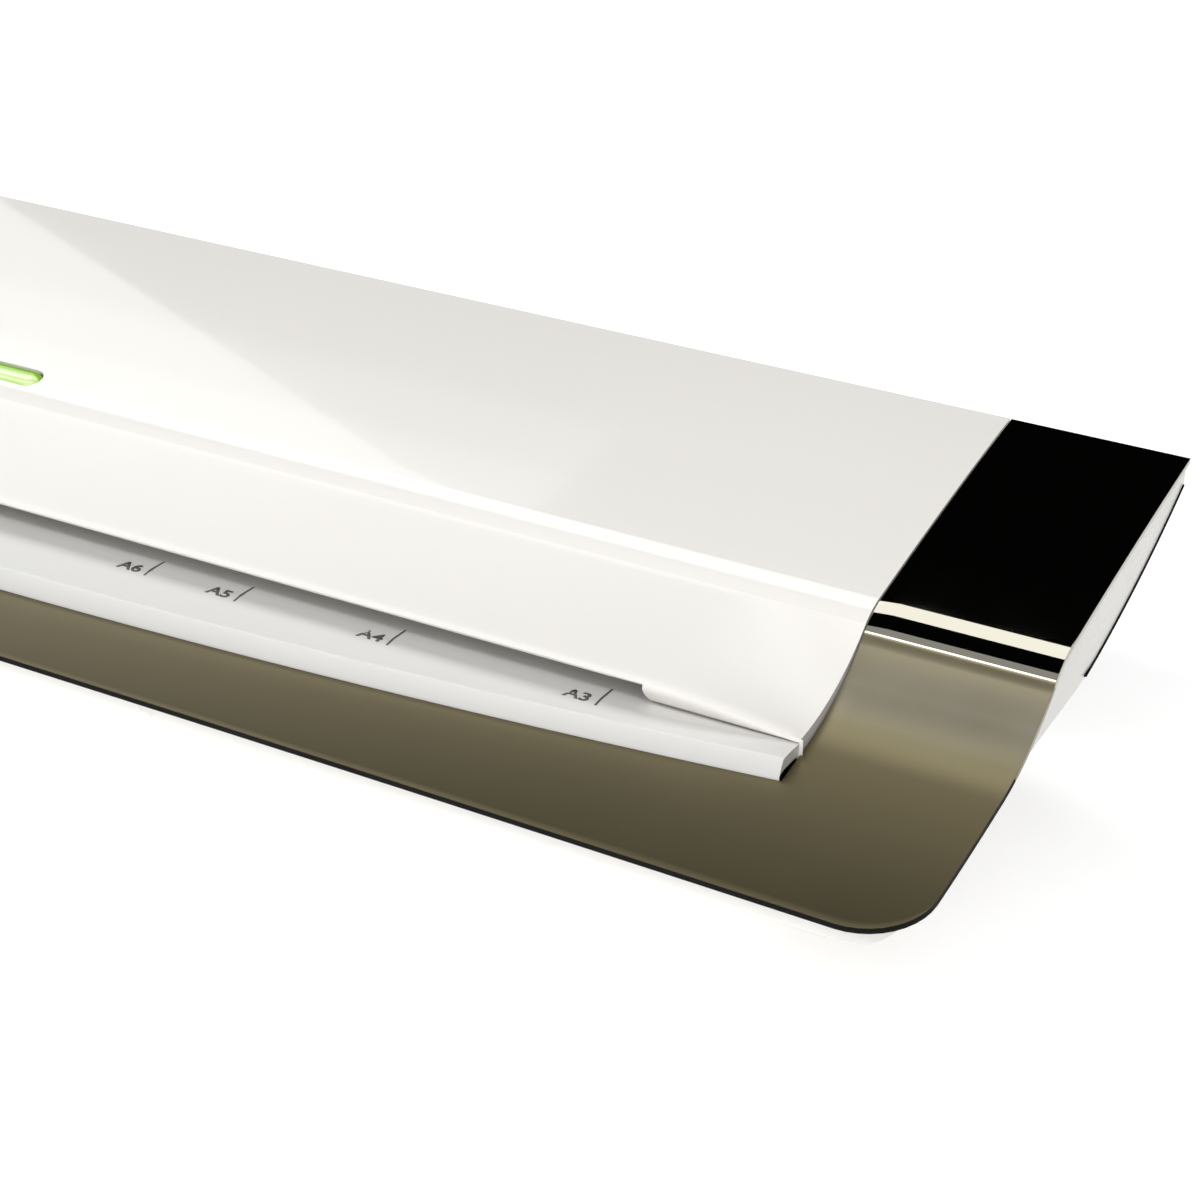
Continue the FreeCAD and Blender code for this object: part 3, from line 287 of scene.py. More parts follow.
def ramp(node, *stops):
    """Sets a colour ramp's stops: (position, colour) each, in order."""
    elements = node.color_ramp.elements
    for index, (position, colour) in enumerate(stops):
        element = elements[index] if index < 2 else elements.new(position)
        element.position, element.color = position, (*colour, 1)
    return node


def painted_light_bands(add, scale, sway, start, stop, *stops):
    """Painted light and shade: colour that runs through the stops from start to stop in Y, its bands
    swaying a little.
    """
    where = add("ShaderNodeTexCoord").outputs["Object"]
    depth = add("ShaderNodeSeparateXYZ", Vector=where).outputs["Y"]
    drift = add("ShaderNodeTexNoise", Vector=where, Scale=scale)
    wobble = add("ShaderNodeMapRange", Value=drift.outputs["Fac"], To_Min=-sway, To_Max=sway)
    shifted = add("ShaderNodeMath", Value=depth)
    shifted.id_data.links.new(wobble.outputs["Result"], shifted.inputs[1])
    share = add("ShaderNodeMapRange", Value=shifted.outputs["Value"], From_Min=start, From_Max=stop)
    return ramp(add("ShaderNodeValToRGB", Fac=share.outputs["Result"]), *stops).outputs["Color"]


def finish(surface, rough, grain=900.0, bump=0.02, patch=14.0, uneven=0.06, **fixed):
    """Gives a surface from shader() its uneven gloss, its fine grain and its fixed settings."""
    material, add, join, main = surface
    where = add("ShaderNodeTexCoord").outputs["Object"]
    smear = add("ShaderNodeTexNoise", Vector=where, Scale=patch * 5, Detail=6.0)
    gloss = add("ShaderNodeMapRange", Value=smear.outputs["Fac"], From_Min=0.3, From_Max=0.7,
                To_Min=max(rough - uneven, 0.01), To_Max=rough + uneven)
    join(gloss.outputs["Result"], "Roughness")
    fine = add("ShaderNodeTexNoise", Vector=where, Scale=grain, Detail=3.0)
    relief = add("ShaderNodeBump", Height=fine.outputs["Fac"], Strength=bump, Distance=0.1 * MM)
    join(relief.outputs["Normal"], "Normal")
    for socket, setting in fixed.items():
        main.inputs[socket.replace("_", " ")].default_value = setting
    return material


def moulded(name, light, dark, rough, patch=14.0, **more):
    """Moulded surface: two close shades in soft patches, uneven gloss and a fine grain."""
    surface = material, add, join, main = shader(name)
    where = add("ShaderNodeTexCoord").outputs["Object"]
    cloud = add("ShaderNodeTexNoise", Vector=where, Scale=patch, Detail=4.0)
    shade = ramp(add("ShaderNodeValToRGB", Fac=cloud.outputs["Fac"]), (0.3, dark), (0.7, light))
    join(shade.outputs["Color"], "Base Color")
    return finish(surface, rough, patch=patch, **more)


def wear(piece, *materials):
    """Gives a piece its materials, the first one all over."""
    piece.data.materials.clear()
    for material in materials:
        piece.data.materials.append(material)
    for face in piece.data.polygons:
        face.material_index = 0
    return piece


# Painted light in the lacquer's colour: painted shade darkens it to olive along the bar's front
# edge, and a painted sheen runs pale beige up the riser towards the crease.
SHADE_AND_SHEEN = ((0.0, (0.080, 0.066, 0.032)), (1.0, (0.200, 0.172, 0.098)), (0.20, (0.094, 0.079, 0.040)),
         (0.53, (0.138, 0.114, 0.057)), (0.68, (0.185, 0.160, 0.090)), (0.80, (0.38, 0.345, 0.26)),
         (0.90, (0.23, 0.20, 0.125)))
SHEEN_SWAY = 1.2 * MM
shaded_lacquer = bronze, add, join, main = shader("bronze_with_painted_sheen")
join(painted_light_bands(add, 9.0, SHEEN_SWAY, FRONT_Y, CREASE_Y, *SHADE_AND_SHEEN), "Base Color")
finish(shaded_lacquer, 0.36, grain=700.0, bump=0.005, uneven=0.02, Metallic=0.86, Coat_Weight=0.15,
       Coat_Roughness=0.35)
polished = moulded("polished_lacquer", (0.40, 0.385, 0.325), (0.39, 0.37, 0.31), 0.03, grain=300.0,
                   bump=0.003, uneven=0.012, Metallic=1.0)
# Black for painted shadow lines: under the trim's edges and along the hull's sides.
painted_shadow_black = moulded("painted_shadow_black", (0.005, 0.005, 0.005), (0.003, 0.003, 0.003), 0.6,
                     Specular_IOR_Level=0.08)
wear(trim, bronze, polished, painted_shadow_black)
POLISHED_SLOT, SHADOW_SLOT = 1, 2
# Painted shadow: faces lying deeper under the trim's face than the set depth, and faces turned down,
# take the black, the shadow line under the trim's edges.
for face in trim.data.polygons:
    middle = face.center
    depth = trim_height(middle.y) - middle.z
    shadow_depth = mix(SHADOW_DEPTH_FRONT, SHADOW_DEPTH_REAR, ease((middle.y - APRON_Y) / (CREASE_Y - APRON_Y)))
    if depth > shadow_depth or (face.normal.z < -0.3 and depth > UNDER_SHADOW_DEPTH):
        face.material_index = SHADOW_SLOT
    elif middle.y > RISER_Y + GROOVE_HALF:
        face.material_index = POLISHED_SLOT
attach(trim, "case")
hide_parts("frame_trim")


# ---------------------------------------------------------------- white hull
# The hull is the machine's tub, moulded in white ABS. Its bow and sides slope in to a small
# floor, so the body seems to float; the rear wall has the exit slot, the inlet and vents.
hull_low, hull_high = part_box("base_shell")
HULL_INSET, SIDE_INSET = 2.6 * MM, 0.5 * MM
SIDE_FROM, SIDE_TO = -8 * MM, 16 * MM
FLOOR_Z = hull_low.z
BASE_Y = FRONT_Y + 48 * MM
HULL_REAR = hull_high.y
HULL_SIDE = hull_high.x
HULL_WALL = 1.2 * MM
SIDE_FRONT_Z, SIDE_REAR_Z = 36 * MM, 64.2 * MM
SIDE_RADIUS, SIDE_SLOPE, SIDE_PAST = 195 * MM, 0.19, 2 * MM
SIDE_LEAN = math.tan(math.radians(44))
HULL_BLEND = 5 * MM
BOW_Z = FRONT_Z - 3.2 * MM
SPLIT_Z = 48 * MM
TRIM_SEAT, RIM_TALL = 0.3 * MM, 1.4 * MM


def soft_max(a, b, width):
    """The larger of two heights, rounded over where they are close."""
    gap = max(width - abs(a - b), 0) / width
    return max(a, b) + gap * gap * width / 4


def side_line(y):
    """Lower edge of the hull's upright side, rising to the rear."""
    if y < OVERHANG_Y:
        return SIDE_FRONT_Z + (y - OVERHANG_Y) * SIDE_SLOPE
    rear = (REAR_Y + SIDE_PAST, SIDE_REAR_Z)
    return arc_height(y, (OVERHANG_Y, SIDE_FRONT_Z), rear, SIDE_RADIUS, -1)


def hull_under(x, y):
    """Height of the hull's outside, seen from below."""
    bow = mix(BOW_Z, FLOOR_Z, (y - FRONT_Y) / (BASE_Y - FRONT_Y))
    side = side_line(y) - (HALF_WIDTH - abs(x)) / SIDE_LEAN
    height = soft_max(soft_max(bow, FLOOR_Z, HULL_BLEND), side, HULL_BLEND)
    return min(height, trim_height(y) - TRIM_THICK - TRIM_SEAT - RIM_TALL)


def place_hull(u, v):
    edge_x = spread(u, trim_stops)
    y = mix(front_edge(edge_x) + HULL_INSET, HULL_REAR, v)
    inset = mix(HULL_INSET, SIDE_INSET, ease((y - SIDE_FROM) / (SIDE_TO - SIDE_FROM)))
    x = edge_x * (1 - inset / HALF_WIDTH)
    return Vector((x, y, hull_under(x, y)))


HULL_ROWS = 72
hull = sheet_grid("hull_shell", len(trim_stops) - 1, HULL_ROWS, place_hull)
push_edges(hull, lambda p: True, (0, 0, 3 * MM))
for vertex in hull.data.vertices[len(trim_stops) * (HULL_ROWS + 1):]:
    vertex.co.z = trim_height(vertex.co.y) - TRIM_THICK - TRIM_SEAT
    if vertex.co.y > HULL_REAR - CLOSE and abs(vertex.co.x) < ARM_INNER:
        vertex.co.z = SPLIT_Z
outward(hull)
modify(hull, "SOLIDIFY", thickness=HULL_WALL, offset=-1)


def cutter(low, high):
    """A box to cut with, from corner to corner."""
    deselect()
    low, high = Vector(low), Vector(high)
    bpy.ops.mesh.primitive_cube_add(size=1, location=(low + high) / 2)
    box = name_it("cutter")
    box.scale = high - low
    return settle(box)


def carve(piece, tools):
    """Cuts all the tools out of the piece and throws them away."""
    for tool in tools:
        modify(piece, "BOOLEAN", object=tool, operation="DIFFERENCE", solver="EXACT")
        bpy.data.objects.remove(tool)
    return piece


SLOT_HALF = 157 * MM
EXIT_LOW, EXIT_HIGH = 34 * MM, 40.4 * MM
VENTS, VENT_START, VENT_STEP, VENT_WIDTH = 8, 60 * MM, 9 * MM, 4 * MM
VENT_LOW, VENT_HIGH = 14 * MM, 25 * MM
REAR_IN, REAR_OUT = HULL_REAR - 9 * MM, HULL_REAR + 3 * MM
inlet_low, inlet_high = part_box("power_inlet")
rear_tools = [cutter((-SLOT_HALF, REAR_IN, EXIT_LOW), (SLOT_HALF, REAR_OUT, EXIT_HIGH)),
              cutter((inlet_low.x, REAR_IN, inlet_low.z), (inlet_high.x, REAR_OUT, inlet_high.z))]
for index in range(VENTS):
    vent_x = VENT_START + VENT_STEP * index
    rear_tools.append(cutter((vent_x, REAR_IN, VENT_LOW),
                             (vent_x + VENT_WIDTH, REAR_OUT, VENT_HIGH)))
carve(hull, rear_tools)
smooth(hull, 30)
hull_white = moulded("hull_white", (0.86, 0.845, 0.81), (0.85, 0.835, 0.80), 0.28, bump=0.03,
                     uneven=0.02)
wear(hull, hull_white)
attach(hull, "case")
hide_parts("base_shell")


# ---------------------------------------------------------------- side shadow strips
# A thin black strip along the lower edge of each upright side of the hull is painted shadow, the
# dark line where the side turns under. It runs over the rear half only and stops short of the back.
SHADOW_STRIP_HALF, SHADOW_STRIP_THICK, SHADOW_STRIP_PROUD = 0.15 * MM, 0.5 * MM, 0.05 * MM
SHADOW_STRIP_FRONT_Y, SHADOW_STRIP_REAR_Y = CREASE_Y + 11 * MM, HULL_REAR - 0.5 * MM
for side, hand in ((-1, "left"), (1, "right")):
    def place_shadow_strip(u, v):
        y = mix(SHADOW_STRIP_FRONT_Y, SHADOW_STRIP_REAR_Y, u)
        height = side_line(y) + mix(-SHADOW_STRIP_HALF, SHADOW_STRIP_HALF, v)
        return Vector((side * (HULL_SIDE + SHADOW_STRIP_PROUD), y, height))

    shadow_strip = sheet_grid("side_shadow_strip_" + hand, 40, 2, place_shadow_strip)
    modify(shadow_strip, "SOLIDIFY", thickness=SHADOW_STRIP_THICK, offset=0)
    smooth(outward(shadow_strip), 40)
    # The black is painted shadow.
    wear(shadow_strip, painted_shadow_black)
    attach(shadow_strip, "case")


# ---------------------------------------------------------------- feed shelf
# White satin ABS moulding that lies in front of the slot, tucked under the cover at the rear
# and at both ends. Its bowed front edge turns down in a bevelled lip against the bronze bar.
shelf_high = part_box("feed_shelf")[1]
SHELF_GAP = 0.15 * MM
SHELF_Z, LIP_Z = 38.6 * MM, 36.5 * MM
SHELF_REAR = shelf_high.y
SHELF_SIDE = shelf_high.x - 0.05 * MM
LIP_NARROW = 0.1 * MM
SHELF_ROWS = 14
SHELF_WALL, SHELF_EDGE = 0.8 * MM, 0.15 * MM
LIP_SECTION = ((0.0, 4.0 * MM), (0.05 * MM, 2.6 * MM), (1.1 * MM, 0.35 * MM), (1.25 * MM, 0.1 * MM),
               (1.5 * MM, 0.0), (1.62 * MM, 0.12 * MM), (1.75 * MM, 0.0))


def shelf_top(y):
    """Shelf face: level under the cover, then falling gently to the lip."""
    if y > OVERHANG_Y:
        return SHELF_Z
    return mix(LIP_Z, SHELF_Z, (y - LIP_Y) / (OVERHANG_Y - LIP_Y))


SHELF_COLUMNS, SHELF_SKIRT = 50, 2.2 * MM
SHELF_REACH = SHELF_SIDE * SHELF_COLUMNS / (SHELF_COLUMNS - 2)


def place_shelf(u, v):
    """Point of the shelf; its outermost columns hang straight down and close its ends."""
    row = round(v * SHELF_ROWS)
    x = min(max(mix(-SHELF_REACH, SHELF_REACH, u), -SHELF_SIDE), SHELF_SIDE)
    hang = SHELF_SKIRT if min(u, 1 - u) < 0.001 else 0.0
    lip = lip_edge(x) + SHELF_GAP
    if row < len(LIP_SECTION):
        x *= 1 - LIP_NARROW / SHELF_SIDE
        back, drop = LIP_SECTION[row]
        return Vector((x, lip + back, shelf_top(lip + back) - max(drop, hang)))
    start = lip + LIP_SECTION[-1][0]
    y = mix(start, SHELF_REAR, (row - len(LIP_SECTION) + 1) / (SHELF_ROWS - len(LIP_SECTION) + 1))
    return Vector((x, y, shelf_top(y) - hang))


shelf = sheet_grid("shelf_plate", SHELF_COLUMNS, SHELF_ROWS, place_shelf)
modify(shelf, "SOLIDIFY", thickness=SHELF_WALL, offset=-1)
modify(shelf, "BEVEL", width=SHELF_EDGE, segments=2, limit_method="ANGLE",
       angle_limit=math.radians(60))
smooth(outward(shelf), 24)
satin = moulded("shelf_satin", (0.73, 0.725, 0.705), (0.715, 0.71, 0.69), 0.40, bump=0.03)
wear(shelf, satin)
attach(shelf, "case")
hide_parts("feed_shelf")


# ---------------------------------------------------------------- size marks
# Paper sizes pad-printed in grey on the shelf: a fine line on each side where the edge of a
# centred sheet comes, with the sheet's name to the left of it.
INK_LIFT = 0.03 * MM
ink = moulded("grey_ink", (0.10, 0.10, 0.10), (0.13, 0.13, 0.13), 0.5)
MARK_REAR = OVERHANG_Y + 4 * MM
MARK_FRONT = OVERHANG_Y - 2.2 * MM
MARK_WIDTH = 0.42 * MM
LABEL_SIZE, LABEL_GAP, LABEL_STRETCH = 3.3 * MM, 1.6 * MM, 1.3
LABEL_RAISE, LABEL_BOLD = 0.3 * MM, 0.09 * MM
MARKS = (("A6", 54.4 * MM), ("A5", 74.6 * MM), ("A4", 107.4 * MM), ("A3", 149.3 * MM))
for sheet_name, half_width in MARKS:
    for side, hand in ((-1, "left"), (1, "right")):
        x = side * half_width
        tag = sheet_name + "_" + hand

        def place_mark(u, v):
            y = mix(MARK_FRONT, MARK_REAR, v)
            return Vector((x + (u - 0.5) * MARK_WIDTH, y, shelf_top(y) + INK_LIFT))

        mark = sheet_grid("mark_line_" + tag, 1, 6, place_mark)
        deselect()
        bpy.ops.object.text_add(location=(0, 0, 0))
        label = bpy.context.object
        label.data.body = sheet_name
        label.data.size = LABEL_SIZE
        label.data.align_x = "RIGHT"
        label.data.resolution_u = 3
        label.data.offset = LABEL_BOLD
        bpy.ops.object.convert(target="MESH")
        label = name_it("mark_label_" + tag)
        for vertex in label.data.vertices:
            y = MARK_FRONT + LABEL_RAISE + vertex.co.y
            across = x - LABEL_GAP + vertex.co.x * LABEL_STRETCH
            vertex.co = Vector((across, y, shelf_top(y) + INK_LIFT))
        for print_piece in (mark, label):
            modify(print_piece, "SOLIDIFY", thickness=INK_LIFT, offset=-1)
            wear(print_piece, ink)
            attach(print_piece, "case")


# ---------------------------------------------------------------- top cover
# Polished white ABS shell that lifts off for service. A soft ledge runs across it at the crease,
# and the sloping front panel overhangs the feed slot and comes down on the shelf at each end.
cover_low, cover_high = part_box("top_cover")
COVER_END = cover_high.x
BROW_Z, BROW_RAISE = 43.5 * MM, 0.3 * MM
SKIRT_Z = cover_low.z + 0.05 * MM
COVER_WALL, COVER_EDGE, END_SKIRT = 0.8 * MM, 0.35 * MM, 3 * MM
BROW_REACH = 6 * MM
REAR_DROPS = (1.0 * MM, 9 * MM, 9 * MM)
LEDGE, LEDGE_RADIUS = 5.2 * MM, 14 * MM
PANEL_RADIUS = 420 * MM
LEDGE_Y = CREASE_Y - LEDGE
CROWN_SLOPE = math.radians(15.66)
END_BLEND, END_POWER = 27 * MM, 1.6
SKIRT_Y, NOSE_Y, PANEL_Y = OVERHANG_Y + 3.4 * MM, OVERHANG_Y - 2.4 * MM, OVERHANG_Y + 1.4 * MM
NOSE_Z = 43.4 * MM
END_NOSE_Y, END_PANEL_Y = OVERHANG_Y + 2.9 * MM, OVERHANG_Y + 5.0 * MM
END_NOSE_Z, END_PANEL_Z = 38.95 * MM, 39.3 * MM


def ledge_height(y):
    """The ledge rolls over from the crowned top, ever steeper, down to the front panel."""
    turn = math.asin(math.sin(CROWN_SLOPE) + (CREASE_Y - y) / LEDGE_RADIUS)
    return CREASE_Z - LEDGE_RADIUS * (math.cos(CROWN_SLOPE) - math.cos(turn))


def middle_height(y):
    """Cover's face along its middle: crowned top, ledge, and slightly hollow front panel."""
    if y >= CREASE_Y:
        return crown_height(y)
    if y >= LEDGE_Y:
        return ledge_height(y)
    foot = (OVERHANG_Y, BROW_Z + BROW_RAISE)
    return arc_height(y, foot, (LEDGE_Y, ledge_height(LEDGE_Y)), PANEL_RADIUS, -1)


def end_height(y):
    """Cover's face against the arm, where it follows the arm's own riser."""
    if y >= RISER_Y:
        return trim_height(y)
    return arc_height(y, (END_PANEL_Y, END_PANEL_Z), (RISER_Y, RISER_Z), APRON_RADIUS, -1)


END_START = COVER_END - END_BLEND
END_COLUMNS, SLOT_COLUMNS = 18, 36
end_columns = [mix(END_START, COVER_END, k / END_COLUMNS) for k in range(END_COLUMNS + 1)]
end_columns = [SLOT_HALF] + end_columns + [COVER_END]
cover_columns = [-x for x in reversed(end_columns)]
cover_columns += [mix(-SLOT_HALF, SLOT_HALF, k / SLOT_COLUMNS) for k in range(1, SLOT_COLUMNS)]
cover_columns += end_columns
SKIRT_ROWS, PANEL_ROWS, LEDGE_ROWS, TOP_ROWS = 12, 18, 16, 20
COVER_ROWS = SKIRT_ROWS + PANEL_ROWS + LEDGE_ROWS + TOP_ROWS


def place_cover(u, v):
    """Point of the cover; its outermost columns hang straight down and close its ends."""
    x = spread(u, cover_columns)
    hang = END_SKIRT if min(u, 1 - u) < 0.001 else 0.0
    end = max((abs(x) - END_START) / END_BLEND, 0) ** END_POWER
    panel_y = mix(PANEL_Y, END_PANEL_Y, end)

    def height(y):
        return mix(middle_height(y), end_height(y), end) if y < CREASE_Y else crown_height(y)

    row = round(v * COVER_ROWS)
    if row <= SKIRT_ROWS:
        t = row / SKIRT_ROWS
        skirt = Vector((SKIRT_Y, SKIRT_Z))
        nose = Vector((mix(NOSE_Y, END_NOSE_Y, end), mix(NOSE_Z, END_NOSE_Z, end)))
        panel = Vector((panel_y, height(panel_y)))
        point = skirt * (1 - t) ** 2 + nose * 2 * t * (1 - t) + panel * t ** 2
        return Vector((x, point.x, point.y - hang))
    row -= SKIRT_ROWS
    if row <= PANEL_ROWS:
        y = mix(panel_y, LEDGE_Y, row / PANEL_ROWS)
    elif row <= PANEL_ROWS + LEDGE_ROWS:
        y = mix(LEDGE_Y, CREASE_Y, (row - PANEL_ROWS) / LEDGE_ROWS)
    else:
        y = mix(CREASE_Y, REAR_Y, (row - PANEL_ROWS - LEDGE_ROWS) / TOP_ROWS)
    return Vector((x, y, height(y) - hang))


cover = sheet_grid("cover_shell", len(cover_columns) - 1, COVER_ROWS, place_cover)
only(cover)
bpy.ops.object.mode_set(mode="EDIT")
bpy.ops.mesh.select_mode(type="FACE")
bpy.ops.mesh.select_all(action="DESELECT")
bpy.ops.object.mode_set(mode="OBJECT")
for face in cover.data.polygons:
    over_slot = abs(face.center.x) < SLOT_HALF and face.center.y < PANEL_Y + BROW_REACH
    face.select = over_slot and face.center.z < BROW_Z
bpy.ops.object.mode_set(mode="EDIT")
bpy.ops.mesh.delete(type="FACE")
bpy.ops.object.mode_set(mode="OBJECT")
push_edges(cover, lambda p: p.y > REAR_Y - 0.1 * MM, *[(0, 0, -drop) for drop in REAR_DROPS])
outward(cover)
modify(cover, "SOLIDIFY", thickness=COVER_WALL, offset=-1)
modify(cover, "BEVEL", width=COVER_EDGE, segments=3, limit_method="ANGLE",
       angle_limit=math.radians(50))
BUTTON_X, BUTTON_BACK = -11 * MM, 0.9 * MM
BUTTON_SLOPE = math.atan2(REAR_Z - CREASE_Z, REAR_Y - CREASE_Y)
BUTTON_CENTRE = Vector((BUTTON_X, CREASE_Y + BUTTON_BACK, crown_height(CREASE_Y + BUTTON_BACK)))
BUTTON_FRAME = Matrix.Translation(BUTTON_CENTRE) @ Matrix.Rotation(BUTTON_SLOPE, 4, "X")
WINDOW_LENGTH, WINDOW_WIDTH, WINDOW_CUT, WINDOW_TOP = 24.5 * MM, 5.5 * MM, 14 * MM, 5 * MM


def pill(name, length, width, height, rise, steps=12):
    """Pill-shaped block at the button's place, its top standing this far above the cover."""
    deselect()
    bpy.ops.mesh.primitive_cylinder_add(vertices=steps * 4, radius=width / 2, depth=height)
    piece = name_it(name)
    for vertex in piece.data.vertices:
        vertex.co.x += math.copysign((length - width) / 2, vertex.co.x)
        vertex.co.z += rise - height / 2
    piece.data.transform(BUTTON_FRAME)
    return piece


carve(cover, [pill("button_hole", WINDOW_LENGTH, WINDOW_WIDTH, WINDOW_CUT, WINDOW_TOP)])
smooth(outward(cover), 35)
white = moulded("cover_white", (0.85, 0.83, 0.79), (0.84, 0.82, 0.78), 0.08, grain=420.0, bump=0.004,
                uneven=0.02, Coat_Weight=0.4, Coat_Roughness=0.02)
panel_white = moulded("panel_white", (0.85, 0.83, 0.79), (0.84, 0.82, 0.78), 0.30, grain=420.0,
                      bump=0.01, uneven=0.02)
wear(cover, white, panel_white)
PANEL_SLOT, PANEL_SHORT = 1, 0.4 * MM
for face in cover.data.polygons:
    if face.center.y < LEDGE_Y - PANEL_SHORT:
        face.material_index = PANEL_SLOT
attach(cover, "case")
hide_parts("top_cover")


# ---------------------------------------------------------------- start button
# Translucent green key, moulded in tinted polycarbonate and lit from below by two lamps. It
# stands in a pill-shaped window just behind the crease and slides along the cover's normal.
KEY_LENGTH, KEY_WIDTH, KEY_HEIGHT, KEY_PROUD = 24 * MM, 5 * MM, 4 * MM, 0.45 * MM
KEY_EDGE = 1.6 * MM
button = pill("button_key", KEY_LENGTH, KEY_WIDTH, KEY_HEIGHT, KEY_PROUD)
modify(button, "BEVEL", width=KEY_EDGE, segments=8, limit_method="ANGLE",
       angle_limit=math.radians(60))
smooth(button, 40)
lens, add, join, main = shader("button_lens_highlight")
# The lens's colour and glow carry a painted highlight: pale over the front half, where the domed key
# catches the light, lime behind.
LENS_HALF, LENS_SWAY = 2.4 * MM, 0.15 * MM
TINTS_AND_HIGHLIGHT = ((0.0, (0.55, 0.78, 0.30)), (1.0, (0.22, 0.45, 0.02)), (0.38, (0.62, 0.85, 0.34)),
         (0.55, (0.30, 0.60, 0.04)))
tint_and_highlight = painted_light_bands(add, 220.0, LENS_SWAY, BUTTON_CENTRE.y - LENS_HALF, BUTTON_CENTRE.y + LENS_HALF,
              *TINTS_AND_HIGHLIGHT)
join(tint_and_highlight, "Base Color")
join(tint_and_highlight, "Emission Color")
main.inputs["Roughness"].default_value = 0.12
main.inputs["Coat Weight"].default_value = 1.0
main.inputs["Emission Strength"].default_value = 0.12
wear(button, lens)
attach(button, "button")
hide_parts("start_button")


# ---------------------------------------------------------------- button coil
# Wound from steel spring wire. It stands on the lamp board under the key, pushes it back up,
# and closes as the key goes down.
COIL_RADIUS, WIRE_RADIUS, COIL_PITCH, COIL_TURNS = 1.75 * MM, 0.3 * MM, 1.15 * MM, 2
COIL_DROP = 6.35 * MM
WIRE_FLATS, TURN_STEPS = 12, 32
deselect()
bpy.ops.mesh.primitive_circle_add(vertices=WIRE_FLATS, radius=WIRE_RADIUS,
                                  location=(COIL_RADIUS, 0, 0), rotation=(math.pi / 2, 0, 0))
coil = settle(name_it("button_coil"))
modify(coil, "SCREW", angle=2 * math.pi, screw_offset=COIL_PITCH, iterations=COIL_TURNS,
       steps=TURN_STEPS, render_steps=TURN_STEPS)
only(coil)
bpy.ops.object.mode_set(mode="EDIT")
bpy.ops.mesh.select_all(action="SELECT")
bpy.ops.mesh.fill_holes(sides=WIRE_FLATS)
bpy.ops.object.mode_set(mode="OBJECT")
coil.data.transform(BUTTON_FRAME @ Matrix.Translation((0, 0, -COIL_DROP)))
smooth(outward(coil), 40)
coil_steel = moulded("coil_steel", (0.56, 0.56, 0.57), (0.50, 0.50, 0.51), 0.3, grain=1500.0,
                     Metallic=1.0)
wear(coil, coil_steel)
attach(coil, "case")
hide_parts("button_spring")
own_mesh(coil)


# ---------------------------------------------------------------- carried-over pieces
# Chassis, rollers, gears, heaters, boards and fixings keep their modelled shapes; each gets
# the finish of its own stock.
def stock(name, light, dark, rough, members, **more):
    """One finish for all the nodes in members, whose names are set apart by spaces."""
    material = moulded(name, light, dark, rough, **more)
    for member in members.split():
        wear(nodes[member], material)


stock("zinc_steel", (0.62, 0.63, 0.64), (0.50, 0.51, 0.53), 0.32,
      "side_plate_left side_plate_right cross_bar_front cross_bar_rear motor_bracket leaf_springs "
      "board_screws cover_screws gear_clips idler_post reduction_post motor_shaft "
      "hot_lower_shaft hot_upper_shaft pull_lower_shaft pull_upper_shaft",
      grain=2500.0, bump=0.05, patch=40.0, Metallic=1.0)
stock("red_silicone", (0.60, 0.12, 0.05), (0.52, 0.10, 0.04), 0.6,
      "hot_lower_sleeve hot_upper_sleeve", grain=3000.0, bump=0.15)
stock("dark_silicone", (0.09, 0.09, 0.10), (0.06, 0.06, 0.07), 0.62,
      "pull_lower_sleeve pull_upper_sleeve", grain=3000.0, bump=0.15)
stock("nylon", (0.84, 0.81, 0.71), (0.77, 0.74, 0.64), 0.42,
      "roller_bushes idler_gear reduction_gear motor_pinion "
      "hot_lower_gear hot_upper_gear pull_lower_gear pull_upper_gear")
stock("extruded_aluminium", (0.80, 0.81, 0.82), (0.70, 0.71, 0.72), 0.35,
      "heat_plate_lower heat_plate_upper", grain=1800.0, bump=0.05, Metallic=1.0)
stock("amber_film", (0.75, 0.42, 0.08), (0.62, 0.32, 0.05), 0.3,
      "heater_strip_lower heater_strip_upper thermal_fuse temperature_sensor")
stock("board_green", (0.05, 0.28, 0.12), (0.03, 0.20, 0.08), 0.35,
      "control_board button_board", grain=700.0)
stock("terminal_blue", (0.08, 0.22, 0.55), (0.06, 0.18, 0.45), 0.4, "terminal_block")
stock("black_moulding", (0.035, 0.035, 0.038), (0.022, 0.022, 0.024), 0.45,
      "bottom_cover exit_guide power_inlet drive_motor relay capacitor film_guide_lower "
      "film_guide_upper thermostat", bump=0.12)
stock("lamp_green", (0.5, 0.9, 0.2), (0.45, 0.85, 0.18), 0.2, "button_lamps")
stock("plated_pin", (0.82, 0.72, 0.50), (0.72, 0.62, 0.42), 0.25, "inlet_pins", Metallic=1.0)
stock("foot_rubber", (0.05, 0.05, 0.05), (0.035, 0.035, 0.035), 0.8,
      "foot_front_left foot_front_right foot_rear_left foot_rear_right", grain=1500.0, bump=0.3)


# ---------------------------------------------------------------- studio
# Plain pale floor, and soft boxes overhead and in front whose edges show in the polished parts.
# The floor glows a little, as a lit table does, so that the object stands in clean white.
deselect()
FLOOR_SIZE, FLOOR_GLOW, ROOM_GLOW = 14, 0.35, 0.002
bpy.ops.mesh.primitive_plane_add(size=FLOOR_SIZE, location=(0, 0, 0))
floor = name_it("floor")
table = moulded("floor_white", (0.90, 0.90, 0.90), (0.89, 0.89, 0.89), 0.8, bump=0.0,
                Specular_IOR_Level=0.0, Emission_Color=(1, 1, 1, 1), Emission_Strength=FLOOR_GLOW)
wear(floor, table)

world = bpy.data.worlds.new("studio")
bpy.context.scene.world = world
world.use_nodes = True
backdrop = world.node_tree.nodes["Background"]
backdrop.inputs["Color"].default_value = (1, 1, 1, 1)
backdrop.inputs["Strength"].default_value = ROOM_GLOW
LIGHT_Z, LOW_LIGHT_Z, LEFT_DROP = 1.5, 0.75, 0.01
LEFT_TURN = math.radians(-33.2)


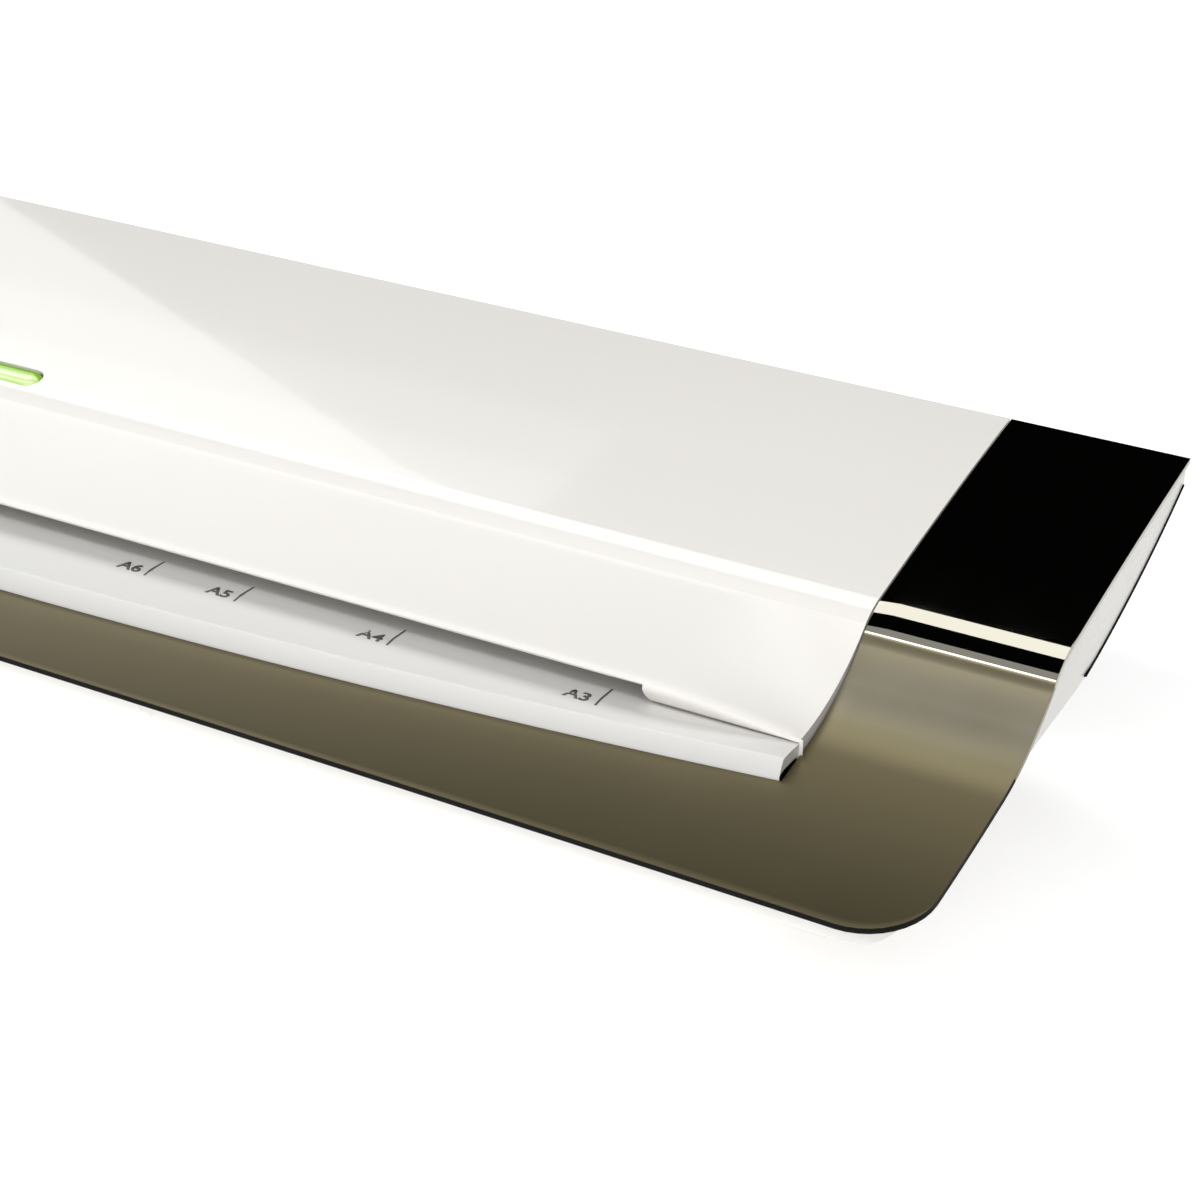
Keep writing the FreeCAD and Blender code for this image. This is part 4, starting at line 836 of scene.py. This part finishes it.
def soft_box(name, place, size, glow, turn=0.0):
    """Rectangular light facing straight down; glow is its brightness, whatever its size."""
    deselect()
    bpy.ops.object.light_add(type="AREA", location=place, rotation=(0, 0, turn))
    light = bpy.context.object
    light.name = name
    light.data.shape = "RECTANGLE"
    light.data.size, light.data.size_y = size
    light.data.energy = glow * math.pi * size[0] * size[1]
    return light


soft_box("overhead_strip", (-0.2, 0.51, LIGHT_Z), (3.4, 0.68), 2.3)
soft_box("strip_edge", (-1.35, 0.925, LIGHT_Z), (1.2, 0.15), 0.8)
soft_box("strip_fringe", (-1.35, 1.075, LIGHT_Z), (1.2, 0.15), 0.35)
soft_box("front_fringe", (-0.2, -0.7, LIGHT_Z), (4.5, 0.5), 0.6)
soft_box("front_strip", (-0.2, -1.1, LIGHT_Z), (4.5, 0.3), 5.5)
soft_box("front_box", (-0.2, -1.9, LIGHT_Z), (4.5, 1.3), 1.5)
# The left box hangs just under the strips, so that they don't hide it where they cross.
soft_box("left_box", (-1.61, 1.03, LIGHT_Z - LEFT_DROP), (2.03, 0.6), 1.15, LEFT_TURN)
low_box = soft_box("low_box", (0.3, -2.6, LOW_LIGHT_Z), (4.0, 1.2), 2.1)
low_box.rotation_euler = (math.radians(90), 0, 0)

camera_data = bpy.data.cameras.new("camera")
camera = bpy.data.objects.new("camera", camera_data)
bpy.context.scene.collection.objects.link(camera)
CAMERA_LENS, CAMERA_SENSOR = 81.83, 36
CAMERA_PLACE = Vector((0.3419, -0.3953, 0.2520))
CAMERA_YAW, CAMERA_PITCH, CAMERA_ROLL = (math.radians(angle) for angle in (28.11, 25.41, 2.15))
camera_data.lens = CAMERA_LENS
camera_data.sensor_width = CAMERA_SENSOR
camera.matrix_world = (Matrix.Translation(CAMERA_PLACE) @ Matrix.Rotation(CAMERA_YAW, 4, "Z")
                       @ Matrix.Rotation(math.pi / 2 - CAMERA_PITCH, 4, "X")
                       @ Matrix.Rotation(CAMERA_ROLL, 4, "Z"))
bpy.context.scene.camera = camera
bpy.context.scene.view_settings.view_transform = "Standard"
